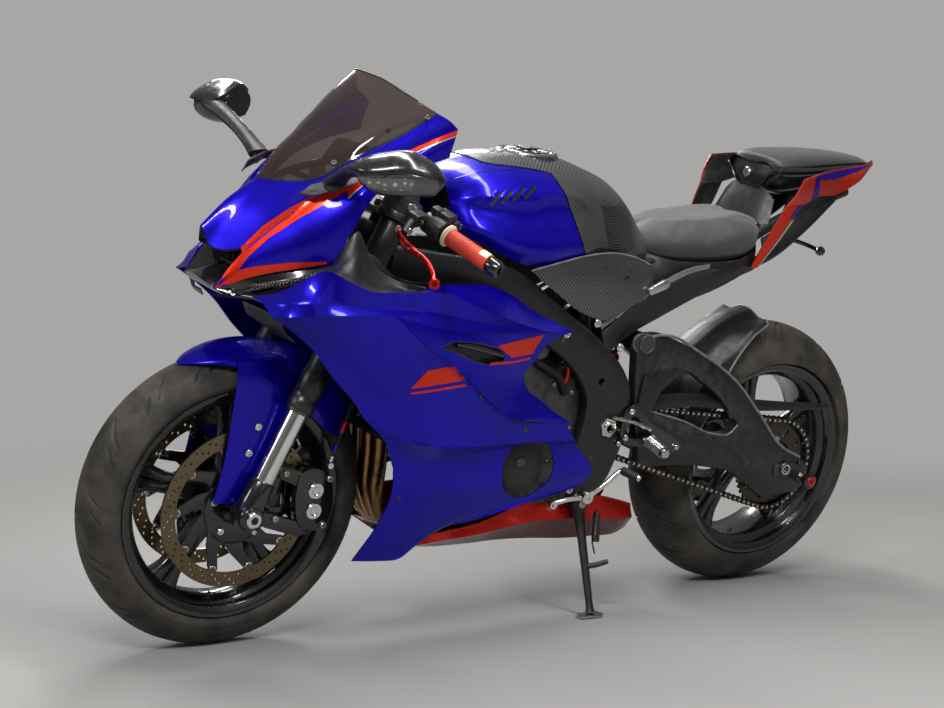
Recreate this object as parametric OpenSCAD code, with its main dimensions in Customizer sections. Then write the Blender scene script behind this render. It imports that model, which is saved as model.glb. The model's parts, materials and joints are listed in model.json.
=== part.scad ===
// Sport motorcycle parked on its side stand.
// Every piece is drawn on an upright machine: X to its left side, -Y ahead,
// Z up, with the rear axle above Y = 0. parked() then leans and centres it.

/* [Stance] */
// Distance between the two axles
wheelbase = 1375; // [1300:5:1450]
// Angle of the steering axis from upright
rake = 24; // [22:0.5:27]
// Distance the steering axis meets the ground ahead of the front axle
trail = 97; // [85:1:110]
// Angle the machine leans onto its stand
lean = 11; // [8:0.5:13]

/* [Wheels] */
// Outer radius of the front tyre
front_radius = 300; // [285:1:310]
// Width of the front tyre
front_width = 120; // [110:1:130]
// Outer radius of the rear tyre
rear_radius = 315; // [300:1:330]
// Width of the rear tyre
rear_width = 180; // [160:1:190]
// Radius of the lip of both rims
rim_radius = 232; // [225:1:240]
// Outer width of the front rim
front_rim_width = 102; // [90:1:110]
// Outer width of the rear rim
rear_rim_width = 150; // [130:1:160]
// Radius of the front brake discs
front_disc_radius = 160; // [150:1:165]
// Radius of the rear brake disc
rear_disc_radius = 110; // [100:1:120]
// Radius of the rear sprocket under the chain
sprocket_radius = 108; // [95:1:115]

/* [Steering] */
// Half the spacing of the fork legs
fork_half = 105; // [100:1:110]
// Radius of the outer fork tube
fork_outer_radius = 27; // [24:0.5:29]
// Radius of the inner fork tube
fork_inner_radius = 21.5; // [20:0.5:23]
// Length of a fork leg from axle to cap
fork_length = 650; // [630:5:680]
// Radius of the front axle
front_axle_radius = 12; // [11:0.5:14]
// Radius of the hole through the front axle
front_axle_bore = 8; // [6:0.5:9]
// Radius of the steering stem
stem_radius = 16; // [14:0.5:18]
// Radius of the socket in the foot of the stem
stem_socket = 9; // [7:0.5:10]

/* [Rear] */
// Radius of the rear axle
rear_axle_radius = 14; // [12:0.5:16]
// Radius of the hole through the rear axle
rear_axle_bore = 9; // [7:0.5:10]
// Radius of the swingarm pivot shaft
pivot_radius = 14; // [12:0.5:16]
// Radius of the hole through the pivot shaft
pivot_bore = 9; // [7:0.5:10]

/* [Clearances] */
// Radial gap of a turning fit
running_gap = 0.05; // [0.02:0.01:0.1]
// Radial gap of a part that is pushed home
seat_gap = 0.02; // [0.01:0.01:0.05]
// Thickness of the body panels
panel = 4; // [3:0.5:6]

/* [Hidden] */
$fn = 64;
front_axle_at = [0, -wheelbase, front_radius];
pivot_at = [0, -551, 446];
gearbox_at = [0, -640, 455];
stand_pivot = [112, -566, 262];
stand_turn = [2.6, -25.4, -9.4];
stand_foot_high = 9;
chain_x = 106;
disc_x = 66;
fork_offset = (front_radius * tan(rake) - trail) * cos(rake);
rear_drop = rear_width / 2 * (1 - cos(lean));
park_shift = [-181, (wheelbase + front_radius - rear_radius) / 2, rear_drop];
cap_at = [0, -745, 1000];
cap_radius = 48;
ring_radius = 66;

// ---- placing -----------------------------------------------------------

module parked() {
    translate(park_shift) rotate([0, lean, 0]) children();
}

module both_sides() {
    children();
    mirror([1, 0, 0]) children();
}

// Local Z runs up the steering axis, from the point where it meets the ground
module on_steering_axis() {
    translate([0, -wheelbase - trail, 0]) rotate([-rake, 0, 0]) children();
}

// Local Z runs up a fork leg, from the front axle
module on_fork() {
    translate([0, -wheelbase, front_radius]) rotate([-rake, 0, 0]) children();
}

// Extrudes a side view drawn in Y and Z between two values of X
module slab(x0, x1) {
    translate([x0, 0, 0]) rotate([90, 0, 90]) linear_extrude(height = x1 - x0) children();
}

// Turns a profile of radius and width about the X axis
module wheel_turn() {
    rotate([0, 90, 0]) rotate_extrude($fn = 96) children();
}

// A round bar between two points
module rod(a, b, r) {
    v = b - a;
    long = norm(v);
    translate(a) rotate([0, acos(v.z / long), atan2(v.y, v.x)]) cylinder(h = long, r = r);
}

// ---- smooth surfaces ---------------------------------------------------

function last(list) = list[len(list) - 1];
function unit(v) = v / max(norm(v), 0.001);
function flip_x(p) = [-p.x, p.y, p.z];
function reversed(list) = [for (i = [len(list) - 1:-1:0]) list[i]];
function columns(grid) = [for (j = [0:len(grid[0]) - 1]) [for (row = grid) row[j]]];

// A point on the curve that passes through b and c
function between(a, b, c, d, t) =
    0.5 * (2 * b + (c - a) * t + (2 * a - 5 * b + 4 * c - d) * t * t
    + (3 * b - a - 3 * c + d) * t * t * t);
function smooth_path(p, n) = [
    for (i = [0:len(p) - 2]) for (k = [0:n - 1])
        between(p[max(i - 1, 0)], p[i], p[i + 1], p[min(i + 2, len(p) - 1)], k / n),
    last(p)];
function smooth_grid(grid, n) =
    columns([for (c = columns([for (row = grid) smooth_path(row, n)])) smooth_path(c, n)]);
function slope(grid, i, j) =
    let (rows = len(grid) - 1, cols = len(grid[0]) - 1)
    unit(cross(grid[i][min(j + 1, cols)] - grid[i][max(j - 1, 0)],
        grid[min(i + 1, rows)][j] - grid[max(i - 1, 0)][j]));

// A curved sheet of even thickness: the grid is one face, the other is offset by t
module sheet(grid, t) {
    rows = len(grid);
    cols = len(grid[0]);
    size = rows * cols;
    top = [for (row = grid) for (p = row) p];
    under = [for (i = [0:rows - 1]) for (j = [0:cols - 1]) grid[i][j] - t * slope(grid, i, j)];
    skin = [for (i = [0:rows - 2]) for (j = [0:cols - 2])
        each let (a = i * cols + j, b = a + 1, c = a + cols + 1, d = a + cols)
        [[a, c, b], [a, d, c], [a + size, b + size, c + size], [a + size, c + size, d + size]]];
    rim = concat(
        [for (j = [0:cols - 1]) j],
        [for (i = [1:rows - 1]) i * cols + cols - 1],
        [for (j = [cols - 2:-1:0]) (rows - 1) * cols + j],
        [for (i = [rows - 2:-1:1]) i * cols]);
    edge = [for (k = [0:len(rim) - 1])
        each let (a = rim[k], b = rim[(k + 1) % len(rim)])
        [[a, b, b + size], [a, b + size, a + size]]];
    faces = concat(skin, edge);
    polyhedron(points = concat(top, under), convexity = 6,
        faces = t > 0 ? faces : [for (f = faces) reversed(f)]);
}

// A solid through closed rings of equal count
module loft(rings) {
    count = len(rings);
    n = len(rings[0]);
    middle = function(ring) [for (k = [0:2]) [for (p = ring) p[k]] * [for (p = ring) 1] / n];
    points = concat([for (ring = rings) for (p = ring) p], [middle(rings[0]), middle(last(rings))]);
    wall = [for (i = [0:count - 2]) for (j = [0:n - 1])
        each let (a = i * n + j, b = i * n + (j + 1) % n, c = b + n, d = a + n)
        [[a, c, b], [a, d, c]]];
    caps = [for (j = [0:n - 1])
        each let (k = (j + 1) % n, far = (count - 1) * n)
        [[count * n, j, k], [count * n + 1, far + k, far + j]]];
    polyhedron(points = points, faces = concat(wall, caps), convexity = 6);
}

// A round tube swept along a path; side is any direction that the path never takes
module tube(path, r, side = [1, 0, 0], n = 12) {
    ends = len(path) - 1;
    loft([for (i = [0:ends])
        let (along = unit(path[min(i + 1, ends)] - path[max(i - 1, 0)]),
            u = unit(cross(along, side)), v = cross(along, u))
        [for (k = [0:n - 1]) path[i] + r * (cos(k * 360 / n) * u + sin(k * 360 / n) * v)]]);
}

// A ring across the machine at one Y, from half an outline of X and Z
function ring_across(y, half) = concat(
    [for (p = half) [p.x, y, p.y]],
    [for (p = reversed(half)) if (p.x > 0.01) [-p.x, y, p.y]]);

// ---- frame and engine --------------------------------------------------

module main_frame() {
    side = [[-1150, 748], [-1128, 800], [-1075, 824], [-1000, 812], [-860, 796], [-762, 748], [-643, 662],
        [-525, 575], [-500, 520], [-494, 430], [-515, 340], [-560, 300], [-620, 330],
        [-622, 400], [-600, 500], [-640, 560], [-700, 610], [-860, 690], [-1060, 720]];
    plan = [[0, -1160], [44, -1150], [62, -1080], [128, -860], [144, -700], [146, -480],
        [121, -480], [119, -700], [98, -850], [30, -1050], [0, -1050]];
    color("#202124") parked() difference() {
        union() {
            intersection() {
                slab(-150, 150) polygon(side);
                linear_extrude(height = 1000) union() {
                    polygon(plan);
                    mirror([1, 0]) polygon(plan);
                }
            }
            on_steering_axis() translate([0, 0, 745]) cylinder(h = 190, r = 34);
            slab(-119, 119) polygon([[-640, 585], [-640, 640], [-590, 600], [-590, 545]]);
            slab(-119, 119) polygon([[-600, 320], [-560, 302], [-556, 340], [-596, 356]]);
        }
        on_steering_axis() translate([0, 0, 700])
            cylinder(h = 300, r = stem_radius + running_gap);
        translate([-200, pivot_at.y, pivot_at.z]) rotate([0, 90, 0])
            cylinder(h = 400, r = pivot_radius + seat_gap);
    }
}

module subframe() {
    rail = [[-588, 742], [-470, 758], [-300, 762], [-172, 768], [-104, 800], [-60, 868], [120, 946],
        [120, 922], [-36, 836], [-150, 738], [-300, 700], [-470, 672], [-560, 690]];
    color("#1c1c1e") parked() {
        both_sides() slab(58, 84) polygon(rail);
        slab(-58, 58) polygon([[-440, 700], [-440, 740], [-410, 742], [-410, 702]]);
        slab(-58, 58) polygon([[-130, 800], [-100, 835], [-80, 835], [-110, 790]]);
    }
}

module engine_block() {
    color("#2a2b2d") parked() {
        slab(-128, 92) polygon([[-990, 330], [-940, 262], [-800, 246], [-740, 246],
            [-655, 306], [-655, 400], [-700, 500], [-960, 470]]);
        slab(-88, 88) polygon([[-955, 460], [-720, 470], [-790, 640], [-900, 668],
            [-1000, 610]]);
        slab(92, 126) polygon([[-900, 310], [-740, 310], [-720, 440], [-860, 470],
            [-960, 420]]);
    }
}

module round_cover(at, r, deep) {
    translate(at) rotate([0, 90, 0]) rotate_extrude() polygon([[0, 0], [r, 0],
        [r, deep * 0.45], [r * 0.86, deep * 0.8], [r * 0.55, deep * 0.95], [0, deep]]);
}

module engine_covers() {
    color("#1d1e20") parked() {
        round_cover([126.2, -789, 385], 62, 64);
        mirror([1, 0, 0]) {
            round_cover([128.2, -720, 385], 86, 50);
            round_cover([128.2, -880, 350], 46, 44);
        }
        round_cover([92.2, -695, 360], 30, 24);
    }
}

module radiator() {
    color("#17181a") parked() difference() {
        translate([0, -1082, 560]) rotate([10, 0, 0]) cube([300, 26, 230], center = true);
        translate([0, -1108, 564]) rotate([10, 0, 0]) cube([280, 36, 204], center = true);
    }
}

module exhaust() {
    color("#8a7a63") parked() {
        for (x = [-66, -22, 22, 66]) tube(smooth_path([[x, -1004, 560], [x, -1026, 500],
            [x, -1026, 400], [x * 0.8, -1004, 290], [x * 0.4, -960, 225]], 2), 15);
        rod([0, -975, 214], [0, -700, 214], 29);
        tube(smooth_path([[0, -716, 214], [-14, -650, 222], [-64, -604, 240],
            [-116, -566, 248], [-152, -530, 262]], 2), 22, [0, 0, 1]);
        rod([-150, -540, 258], [-208, -300, 332], 46);
        rod([-208, -300, 332], [-211, -288, 336], 34);
    }
}

// ---- rear suspension and drive -----------------------------------------

module pivot_shaft() {
    color("#b9bcc0") parked() difference() {
        union() {
            translate([-150, pivot_at.y, pivot_at.z]) rotate([0, 90, 0])
                cylinder(h = 300, r = pivot_radius);
            both_sides() translate([147, pivot_at.y, pivot_at.z]) rotate([0, 90, 0])
                cylinder(h = 10, r = 21, $fn = 6);
        }
        translate([-200, pivot_at.y, pivot_at.z]) rotate([0, 90, 0])
            cylinder(h = 400, r = pivot_bore);
    }
}

module swingarm() {
    arm = [[-470, 440], [-488, 530], [-500, 620], [-480, 648], [-430, 648], [-308, 600],
        [-190, 532], [-20, 372], [52, 352], [84, 318], [76, 268], [20, 250], [-60, 262],
        [-150, 330], [-300, 362], [-440, 360]];
    window = [[-445, 462], [-452, 560], [-420, 588], [-330, 560], [-220, 490], [-160, 425],
        [-230, 420], [-330, 452]];
    color("#232427") parked() difference() {
        union() {
            both_sides() slab(122, 148) difference() {
                polygon(arm);
                polygon(window);
            }
            slab(-126, 126) polygon([[-436, 368], [-436, 446], [-352, 440], [-352, 372]]);
            both_sides() slab(46, 84) polygon([[-560, 414], [-560, 478], [-436, 446],
                [-436, 374]]);
            translate([-118, pivot_at.y, pivot_at.z]) rotate([0, 90, 0])
                cylinder(h = 236, r = 24);
        }
        translate([-200, pivot_at.y, pivot_at.z]) rotate([0, 90, 0])
            cylinder(h = 400, r = pivot_radius + seat_gap);
        translate([-200, 0, rear_radius]) rotate([0, 90, 0])
            cylinder(h = 400, r = rear_axle_radius + seat_gap);
    }
}

module rear_shock() {
    color("#b3202a") parked() {
        rod([0, -480, 340], [0, -506, 640], 12);
        rod([0, -481, 372], [0, -498, 560], 30);
        rod([0, -502, 590], [0, -507, 650], 26);
    }
}

module rear_axle() {
    color("#a9acb0") parked() difference() {
        union() {
            translate([-152, 0, rear_radius]) rotate([0, 90, 0])
                cylinder(h = 304, r = rear_axle_radius);
            both_sides() translate([148.1, 0, rear_radius]) rotate([0, 90, 0])
                cylinder(h = 9, r = 23);
        }
        translate([-200, 0, rear_radius]) rotate([0, 90, 0])
            cylinder(h = 400, r = rear_axle_bore);
    }
}

// The outline round two wheels of a chain run
module chain_outline(front_r, rear_r) {
    run = [-gearbox_at.y, rear_radius - gearbox_at.z];
    angle = atan2(run.y, run.x);
    turn = asin((rear_r - front_r) / norm(run));
    front = [gearbox_at.y, gearbox_at.z];
    rear = [0, rear_radius];
    up = [cos(angle + 90 + turn), sin(angle + 90 + turn)];
    down = [cos(angle - 90 - turn), sin(angle - 90 - turn)];
    translate(front) circle(r = front_r);
    translate(rear) circle(r = rear_r);
    polygon([front + front_r * up, rear + rear_r * up, rear + rear_r * down,
        front + front_r * down]);
}

module chain() {
    color("#3a3835") parked() slab(chain_x - 9, chain_x + 9) difference() {
        chain_outline(46, sprocket_radius + 18);
        chain_outline(32, sprocket_radius + 4);
    }
}

module rear_hugger() {
    across = [[-84, 282], [-62, 312], [-32, 325], [0, 329], [32, 325], [62, 312], [84, 282]];
    rows = [for (a = [112:12:172]) [for (p = across)
        [p.x, p.y * cos(a), rear_radius + p.y * sin(a)]]];
    color("#1a1a1c") parked() sheet(smooth_grid(rows, 2), -panel);
}

module rear_caliper() {
    color("#1f1f21") parked() mirror([1, 0, 0]) difference() {
        slab(84, 121) polygon([[-40, 215], [40, 205], [60, 170], [20, 150], [-50, 165]]);
        slab(94, 110) polygon([[-80, 330], [80, 330], [80, 188], [-80, 188]]);
    }
}

// ---- bodywork ----------------------------------------------------------

module nose_cowl() {
    half = [
        [[0, -1369, 935], [40, -1337, 938], [90, -1284, 955], [120, -1237, 996],
            [140, -1150, 1046], [150, -1077, 1090], [160, -1045, 1080]],
        [[0, -1410, 905], [50, -1385, 900], [108, -1316, 915], [135, -1250, 958],
            [154, -1150, 1016], [160, -1080, 1050], [165, -1042, 1062]],
        [[0, -1455, 862], [62, -1430, 850], [118, -1350, 862], [150, -1270, 910],
            [170, -1170, 965], [168, -1095, 1010], [167, -1050, 1040]],
        [[0, -1490, 812], [70, -1448, 800], [130, -1365, 808], [165, -1290, 860],
            [180, -1220, 915], [174, -1135, 978], [168, -1055, 1010]]];
    color("#1d12c8") parked() sheet(smooth_grid([for (row = half)
        concat([for (k = [6:-1:1]) flip_x(row[k])], row)], 2), panel);
}

module windscreen() {
    rows = [
        [[0, -1366, 942], [38, -1334, 946], [86, -1282, 962], [116, -1234, 1002],
            [136, -1148, 1052], [146, -1080, 1098]],
        [[0, -1318, 1008], [34, -1292, 1014], [76, -1246, 1030], [108, -1200, 1056],
            [130, -1130, 1088], [142, -1076, 1112]],
        [[0, -1262, 1072], [32, -1240, 1078], [70, -1204, 1086], [98, -1168, 1096],
            [120, -1114, 1112], [132, -1072, 1122]],
        [[0, -1196, 1132], [30, -1182, 1134], [62, -1156, 1134], [88, -1128, 1132],
            [106, -1096, 1132], [118, -1068, 1130]]];
    color([0.1, 0.07, 0.06, 0.7]) parked() sheet(smooth_grid([for (row = rows)
        concat([for (k = [5:-1:1]) flip_x(row[k])], row)], 2), 3);
}

module headlamps() {
    color("#dfe4ea") parked() both_sides() sheet(smooth_grid([
        [[72, -1438, 782], [128, -1352, 790], [158, -1290, 800]],
        [[70, -1432, 764], [126, -1346, 772], [156, -1284, 786]]], 2), panel);
}

module instruments() {
    color("#101113") parked() translate([0, -1216, 968]) rotate([-58, 0, 0])
        cube([170, 84, 34], center = true);
}

module fairing() {
    upper = [
        [[98, -1440, 744], [152, -1372, 768], [205, -1311, 798], [226, -1240, 774],
            [234, -1120, 766], [192, -1030, 764], [168, -940, 766], [170, -845, 732],
            [200, -765, 694]],
        [[102, -1438, 737], [166, -1360, 745], [220, -1290, 755], [242, -1220, 752],
            [248, -1110, 754], [246, -1027, 738], [240, -935, 718], [232, -840, 690],
            [223, -752, 680]],
        [[106, -1430, 729], [168, -1350, 712], [212, -1290, 700], [234, -1210, 696],
            [248, -1110, 700], [249, -1020, 690], [245, -940, 674], [238, -860, 660],
            [227, -780, 650]],
        [[160, -1352, 700], [196, -1309, 652], [216, -1250, 645], [233, -1180, 640],
            [244, -1100, 632], [246, -1020, 625], [242, -940, 618], [235, -880, 610],
            [228, -838, 600]],
        [[205, -1225, 545], [214, -1190, 543], [228, -1130, 540], [238, -1060, 535],
            [240, -1000, 532], [237, -940, 528], [232, -870, 522], [226, -800, 515],
            [221, -740, 502]],
        [[210, -1128, 452], [217, -1090, 452], [225, -1050, 452], [231, -1000, 452],
            [230, -950, 452], [227, -890, 452], [223, -820, 452], [217, -740, 452],
            [210, -662, 440]],
        [[203, -1112, 372], [211, -1070, 372], [218, -1020, 372], [222, -970, 372],
            [222, -920, 372], [219, -870, 372], [215, -800, 372], [209, -720, 372],
            [202, -625, 372]],
        [[176, -1160, 270], [187, -1110, 270], [197, -1050, 270], [203, -980, 272],
            [203, -920, 276], [200, -860, 284], [196, -790, 300], [192, -720, 322],
            [190, -650, 350]],
        [[160, -1184, 228], [170, -1120, 236], [178, -1050, 240], [183, -980, 246],
            [183, -920, 252], [182, -860, 262], [181, -790, 284], [180, -720, 306],
            [180, -660, 332]]];
    difference() {
        sheet(smooth_grid(upper, 2), panel);
        slab(100, 300) translate([-789, 385]) circle(r = 68);
        slab(100, 300) polygon([[-1056, 660], [-1020, 668], [-910, 640], [-888, 618],
            [-930, 612], [-1010, 640]]);
    }
}

module left_fairing() {
    color("#1d12c8") parked() fairing();
}

module right_fairing() {
    color("#1d12c8") parked() mirror([1, 0, 0]) fairing();
}

module belly_pan() {
    rows = [for (s = [
        [-1050, 168, 232, 176], [-950, 176, 242, 166], [-850, 174, 254, 164],
        [-750, 156, 270, 166], [-660, 108, 270, 168], [-560, 78, 262, 171],
        [-470, 72, 250, 175], [-375, 52, 228, 180]])
        [[s[1], s[0], s[2]], [s[1] - 12, s[0], mean(s[2], s[3])], [s[1] * 0.7, s[0], s[3] + 8],
            [0, s[0], s[3]], [-s[1] * 0.7, s[0], s[3] + 8],
            [12 - s[1], s[0], mean(s[2], s[3])], [-s[1], s[0], s[2]]]];
    color("#c5341a") parked() difference() {
        sheet(smooth_grid(rows, 2), -panel);
        translate([-200, -640, 208]) cube([160, 110, 100]);
    }
}
function mean(a, b) = (a + b) / 2;

module mirror_shape() {
    loft([for (s = [[262, -1412, 968, 4], [290, -1340, 1000, 22], [320, -1270, 1020, 34],
        [338, -1205, 1010, 32], [346, -1175, 998, 12]])
        [for (a = [0:30:330]) [s[0] + 26 * cos(a) * s[3] / 34, s[1], s[2] - s[3] * sin(a)]]]);
    rod([156, -1262, 956], [290, -1335, 985], 11);
}

module mirrors() {
    color("#141416") parked() both_sides() mirror_shape();
}

// Half outlines of the tank and its cover, from the spine down to the lower edge
tank_sections = [
    [-985, [[0, 960], [40, 955], [72, 938], [84, 915], [74, 892], [0, 880]]],
    [-930, [[0, 985], [52, 980], [98, 958], [122, 920], [112, 880], [0, 850]]],
    [-850, [[0, 1000], [60, 996], [116, 968], [148, 915], [146, 850], [0, 818]]],
    [-760, [[0, 1006], [60, 1001], [114, 970], [150, 905], [152, 812], [0, 806]]],
    [-660, [[0, 993], [56, 986], [100, 952], [130, 889], [134, 819], [0, 807]]],
    [-610, [[0, 976], [50, 968], [88, 934], [108, 880], [112, 824], [0, 808]]],
    [-540, [[0, 946], [44, 938], [72, 905], [86, 865], [92, 806], [0, 800]]],
    [-480, [[0, 890], [40, 882], [66, 858], [80, 830], [86, 792], [0, 790]]]];
tank_cut = -660;
function tank_ring(s) = ring_across(s[0], smooth_path(s[1], 3));
function tank_rings(from, to) = [for (s = tank_sections) if (s[0] >= from && s[0] <= to)
    tank_ring(s)];

module fuel_tank() {
    color("#1d12c8") parked() difference() {
        loft(tank_rings(-1000, tank_cut));
        translate([0, cap_at.y, 960]) cylinder(h = 80, r = ring_radius);
    }
}

module tank_cover() {
    color("#26272a") parked() translate([0, 0.3, 0]) loft(tank_rings(tank_cut, -400));
}

module filler_ring() {
    color("#141416") parked() translate(cap_at) difference() {
        translate([0, 0, -39.8]) cylinder(h = 50, r = ring_radius - 0.2);
        translate([0, 0, -22]) cylinder(h = 50, r = 24);
        translate([0, 0, -0.3]) cylinder(h = 50, r = cap_radius + 6);
    }
}

module side_covers() {
    color("#1c1d1f") parked() both_sides() sheet(smooth_grid([
        [[146, -790, 792], [146, -700, 812], [136, -610, 812], [122, -530, 800],
            [112, -462, 782]],
        [[150, -755, 762], [150, -680, 760], [142, -600, 758], [128, -530, 760],
            [116, -455, 762]],
        [[150, -700, 722], [150, -650, 710], [146, -590, 700], [136, -530, 706],
            [122, -450, 722]]], 2), panel);
}

module rider_seat() {
    rings = [for (s = [[-468, 66, 846, 800], [-430, 104, 862, 786], [-370, 124, 876, 782],
        [-290, 132, 884, 790], [-210, 128, 894, 796], [-150, 108, 892, 806],
        [-124, 84, 878, 826]])
        ring_across(s[0], [[0, s[2]], [s[1] * 0.55, s[2] - 4], [s[1] * 0.88, s[2] - 22],
            [s[1], s[2] - 48], [s[1] * 0.92, s[3]], [0, s[3]]])];
    color("#262628") parked() loft(rings);
}

module tail_fins() {
    color("#ef5a3a") parked() both_sides() {
        sheet(smooth_grid([
            [[150, -98, 985], [128, -20, 1000], [98, 80, 1010], [60, 190, 1012]],
            [[156, -98, 972], [138, -20, 975], [110, 70, 975], [84, 150, 975]],
            [[150, -75, 955], [140, -20, 950], [126, 30, 948], [104, 100, 955]]], 2), panel);
        sheet(smooth_grid([
            [[150, -75, 955], [140, -20, 950]],
            [[142, -120, 905], [136, -70, 895]],
            [[134, -165, 850], [130, -120, 838]],
            [[124, -205, 792], [122, -180, 788]]], 2), panel);
    }
}

module tail_cover() {
    color("#19191b") parked() loft([for (s = [[-112, 78, 1006, 955], [-60, 96, 1028, 950],
        [40, 88, 1034, 962], [140, 62, 1026, 985], [225, 34, 1012, 995], [250, 22, 1004, 996]])
        ring_across(s[0], [[0, s[2]], [s[1] * 0.6, s[2] - 5], [s[1], mean(s[2], s[3])],
            [s[1] * 0.8, s[3]], [0, s[3]]])]);
}

module tail_lamp() {
    color("#a01018") parked() translate([0, 222, 980]) cube([60, 40, 20], center = true);
}

// ---- foot controls and stand -------------------------------------------

module footrests() {
    color("#1b1b1d") parked() both_sides() {
        slab(150, 162) polygon([[-520, 470], [-470, 500], [-380, 450], [-360, 410],
            [-430, 380], [-520, 400]]);
        rod([160, -440, 420], [172, -445, 415], 16);
        rod([170, -445, 415], [262, -470, 412], 12);
    }
}

module foot_levers() {
    color("#c9ccd0") parked() both_sides() {
        tube(smooth_path([[176, -500, 395], [180, -560, 362], [190, -620, 328],
            [204, -650, 318]], 2), 8, [0, 0, 1]);
        rod([200, -648, 318], [248, -652, 316], 9);
    }
}

module in_stand_frame() {
    translate(stand_pivot) rotate(stand_turn) children();
}

function turned(p, axis, a) =
    axis == 0 ? [p.x, p.y * cos(a) - p.z * sin(a), p.y * sin(a) + p.z * cos(a)]
    : axis == 1 ? [p.x * cos(a) + p.z * sin(a), p.y, p.z * cos(a) - p.x * sin(a)]
    : [p.x * cos(a) - p.y * sin(a), p.x * sin(a) + p.y * cos(a), p.z];
function on_floor_frame(p) = turned(p, 1, lean) + park_shift;
leg_way = turned(turned(turned(turned([0, 0, -1], 0, stand_turn.x), 1, stand_turn.y), 2,
    stand_turn.z), 1, lean);
stand_top = on_floor_frame(stand_pivot);
stand_length = (stand_top.z - stand_foot_high) / -leg_way.z;

// The leg turns on its pivot, and its foot is flat on the floor when it is out
module side_stand() {
    foot_at = stand_top + stand_length * leg_way;
    color("#242527") {
        parked() in_stand_frame() difference() {
            union() {
                rotate([0, 90, 0]) cylinder(h = 22, r = 19, center = true);
                translate([0, 0, -stand_length]) cylinder(h = stand_length, r = 11);
                rod([0, 0, -150], [34, 36, -158], 7);
            }
            rotate([0, 90, 0]) cylinder(h = 60, r = 8 + running_gap, center = true);
        }
        translate([foot_at.x, foot_at.y, 0]) cylinder(h = stand_foot_high + 4, r = 26);
    }
}

// ---- steering ----------------------------------------------------------

module forks() {
    color("#17171a") parked() on_fork() both_sides() translate([fork_half, 0, 0])
        difference() {
            union() {
                translate([0, 0, 225]) cylinder(h = fork_length - 225, r = fork_outer_radius);
                cylinder(h = 260, r = fork_inner_radius);
                translate([0, 0, -26]) cylinder(h = 96, r = 26);
            }
            translate([-60, 0, 0]) rotate([0, 90, 0])
                cylinder(h = 120, r = front_axle_radius + seat_gap);
        }
}

module clamp_plate(low, thick) {
    translate([0, 0, low]) difference() {
        linear_extrude(height = thick) union() {
            polygon([[-fork_half, -38], [-40, -fork_offset - 12], [40, -fork_offset - 12],
                [fork_half, -38], [fork_half, 38], [30, fork_offset + 42],
                [-30, fork_offset + 42], [-fork_half, 38]]);
            for (side = [-1, 1]) translate([side * fork_half, 0])
                circle(r = fork_outer_radius + 13);
        }
        for (side = [-1, 1]) translate([side * fork_half, 0, -1])
            cylinder(h = thick + 2, r = fork_outer_radius + seat_gap);
    }
}

module fork_clamps() {
    color("#19191b") parked() on_fork() difference() {
        union() {
            clamp_plate(400, 30);
            clamp_plate(634, 16);
            translate([0, fork_offset, 400]) cylinder(h = 266, r = stem_radius);
            translate([0, fork_offset, 650]) cylinder(h = 14, r = 20);
        }
        translate([0, fork_offset, 380]) cylinder(h = 60, r = stem_socket);
    }
}

bar_root = [fork_half, -1131, 850];
bar_tip = [340, -1032, 835];
function along_bar(t) = bar_root + (bar_tip - bar_root) * t;

module handlebars() {
    color("#1a1a1c") parked() both_sides() {
        difference() {
            union() {
                rod(along_bar(0.08), along_bar(0.94), 11);
                rod(along_bar(0.945), along_bar(1.02), 16);
                on_fork() translate([fork_half, 0, 596]) cylinder(h = 34, r = 38);
            }
            on_fork() translate([fork_half, 0, 590])
                cylinder(h = 60, r = fork_outer_radius + seat_gap);
        }
    }
}

module grips() {
    color("#d8412f") parked() both_sides() difference() {
        rod(along_bar(0.42), along_bar(0.94), 17);
        rod(along_bar(0.3), along_bar(1.1), 11 + seat_gap);
    }
}

module bar_controls() {
    color("#161618") parked() both_sides() difference() {
        union() {
            rod(along_bar(0.26), along_bar(0.41), 24);
            translate(along_bar(0.3) + [0, -24, 6]) rotate([0, 0, 22])
                cube([40, 34, 26], center = true);
        }
        rod(along_bar(0), along_bar(0.6), 11 + seat_gap);
    }
}

module hand_levers() {
    color("#d22b1f") parked() both_sides() {
        tube(smooth_path([[170, -1158, 862], [196, -1160, 857], [226, -1152, 842],
            [262, -1140, 820], [296, -1132, 802]], 3), 7, [0, 0, 1]);
        translate([296, -1132, 802]) sphere(r = 10);
    }
}

module front_fender() {
    across = [[-68, -60], [-66, -30], [-50, 6], [0, 26], [50, 6], [66, -30], [68, -60]];
    color("#1d12c8") parked() {
        sheet(smooth_grid([for (a = [40:16:152]) [for (p = across)
            let (r = front_radius + p.y)
            [p.x, -wheelbase - r * cos(a), front_radius + r * sin(a)]]], 2), -panel);
        both_sides() slab(73.6, 77.6) polygon([[-1400, 590], [-1345, 590], [-1318, 440],
            [-1322, 372], [-1380, 330], [-1420, 322], [-1428, 345], [-1402, 440],
            [-1420, 540]]);
        both_sides() slab(65, 76) polygon([[-1395, 540], [-1345, 540], [-1345, 566],
            [-1395, 566]]);
    }
}

module front_calipers() {
    color("#151517") parked() both_sides() difference() {
        translate([disc_x, -1234, 316]) rotate([-12, 0, 0])
            cube([66, 74, 116], center = true);
        translate([disc_x, -wheelbase, front_radius]) rotate([0, 90, 0])
            cylinder(h = 15, r = front_disc_radius + 8, center = true);
    }
}

module front_axle() {
    color("#b4b7bb") parked() translate(front_axle_at) rotate([0, 90, 0]) difference() {
        union() {
            translate([0, 0, -134]) cylinder(h = 268, r = front_axle_radius);
            translate([0, 0, 131.2]) cylinder(h = 7, r = 18);
        }
        translate([0, 0, -150]) cylinder(h = 300, r = front_axle_bore);
    }
}

module brake_lines() {
    color("#111112") parked() both_sides() tube(smooth_path([[88, -1190, 386],
        [92, -1174, 450], [92, -1150, 540], [84, -1142, 620], [72, -1150, 660]], 2), 4, n = 8);
}

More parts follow.
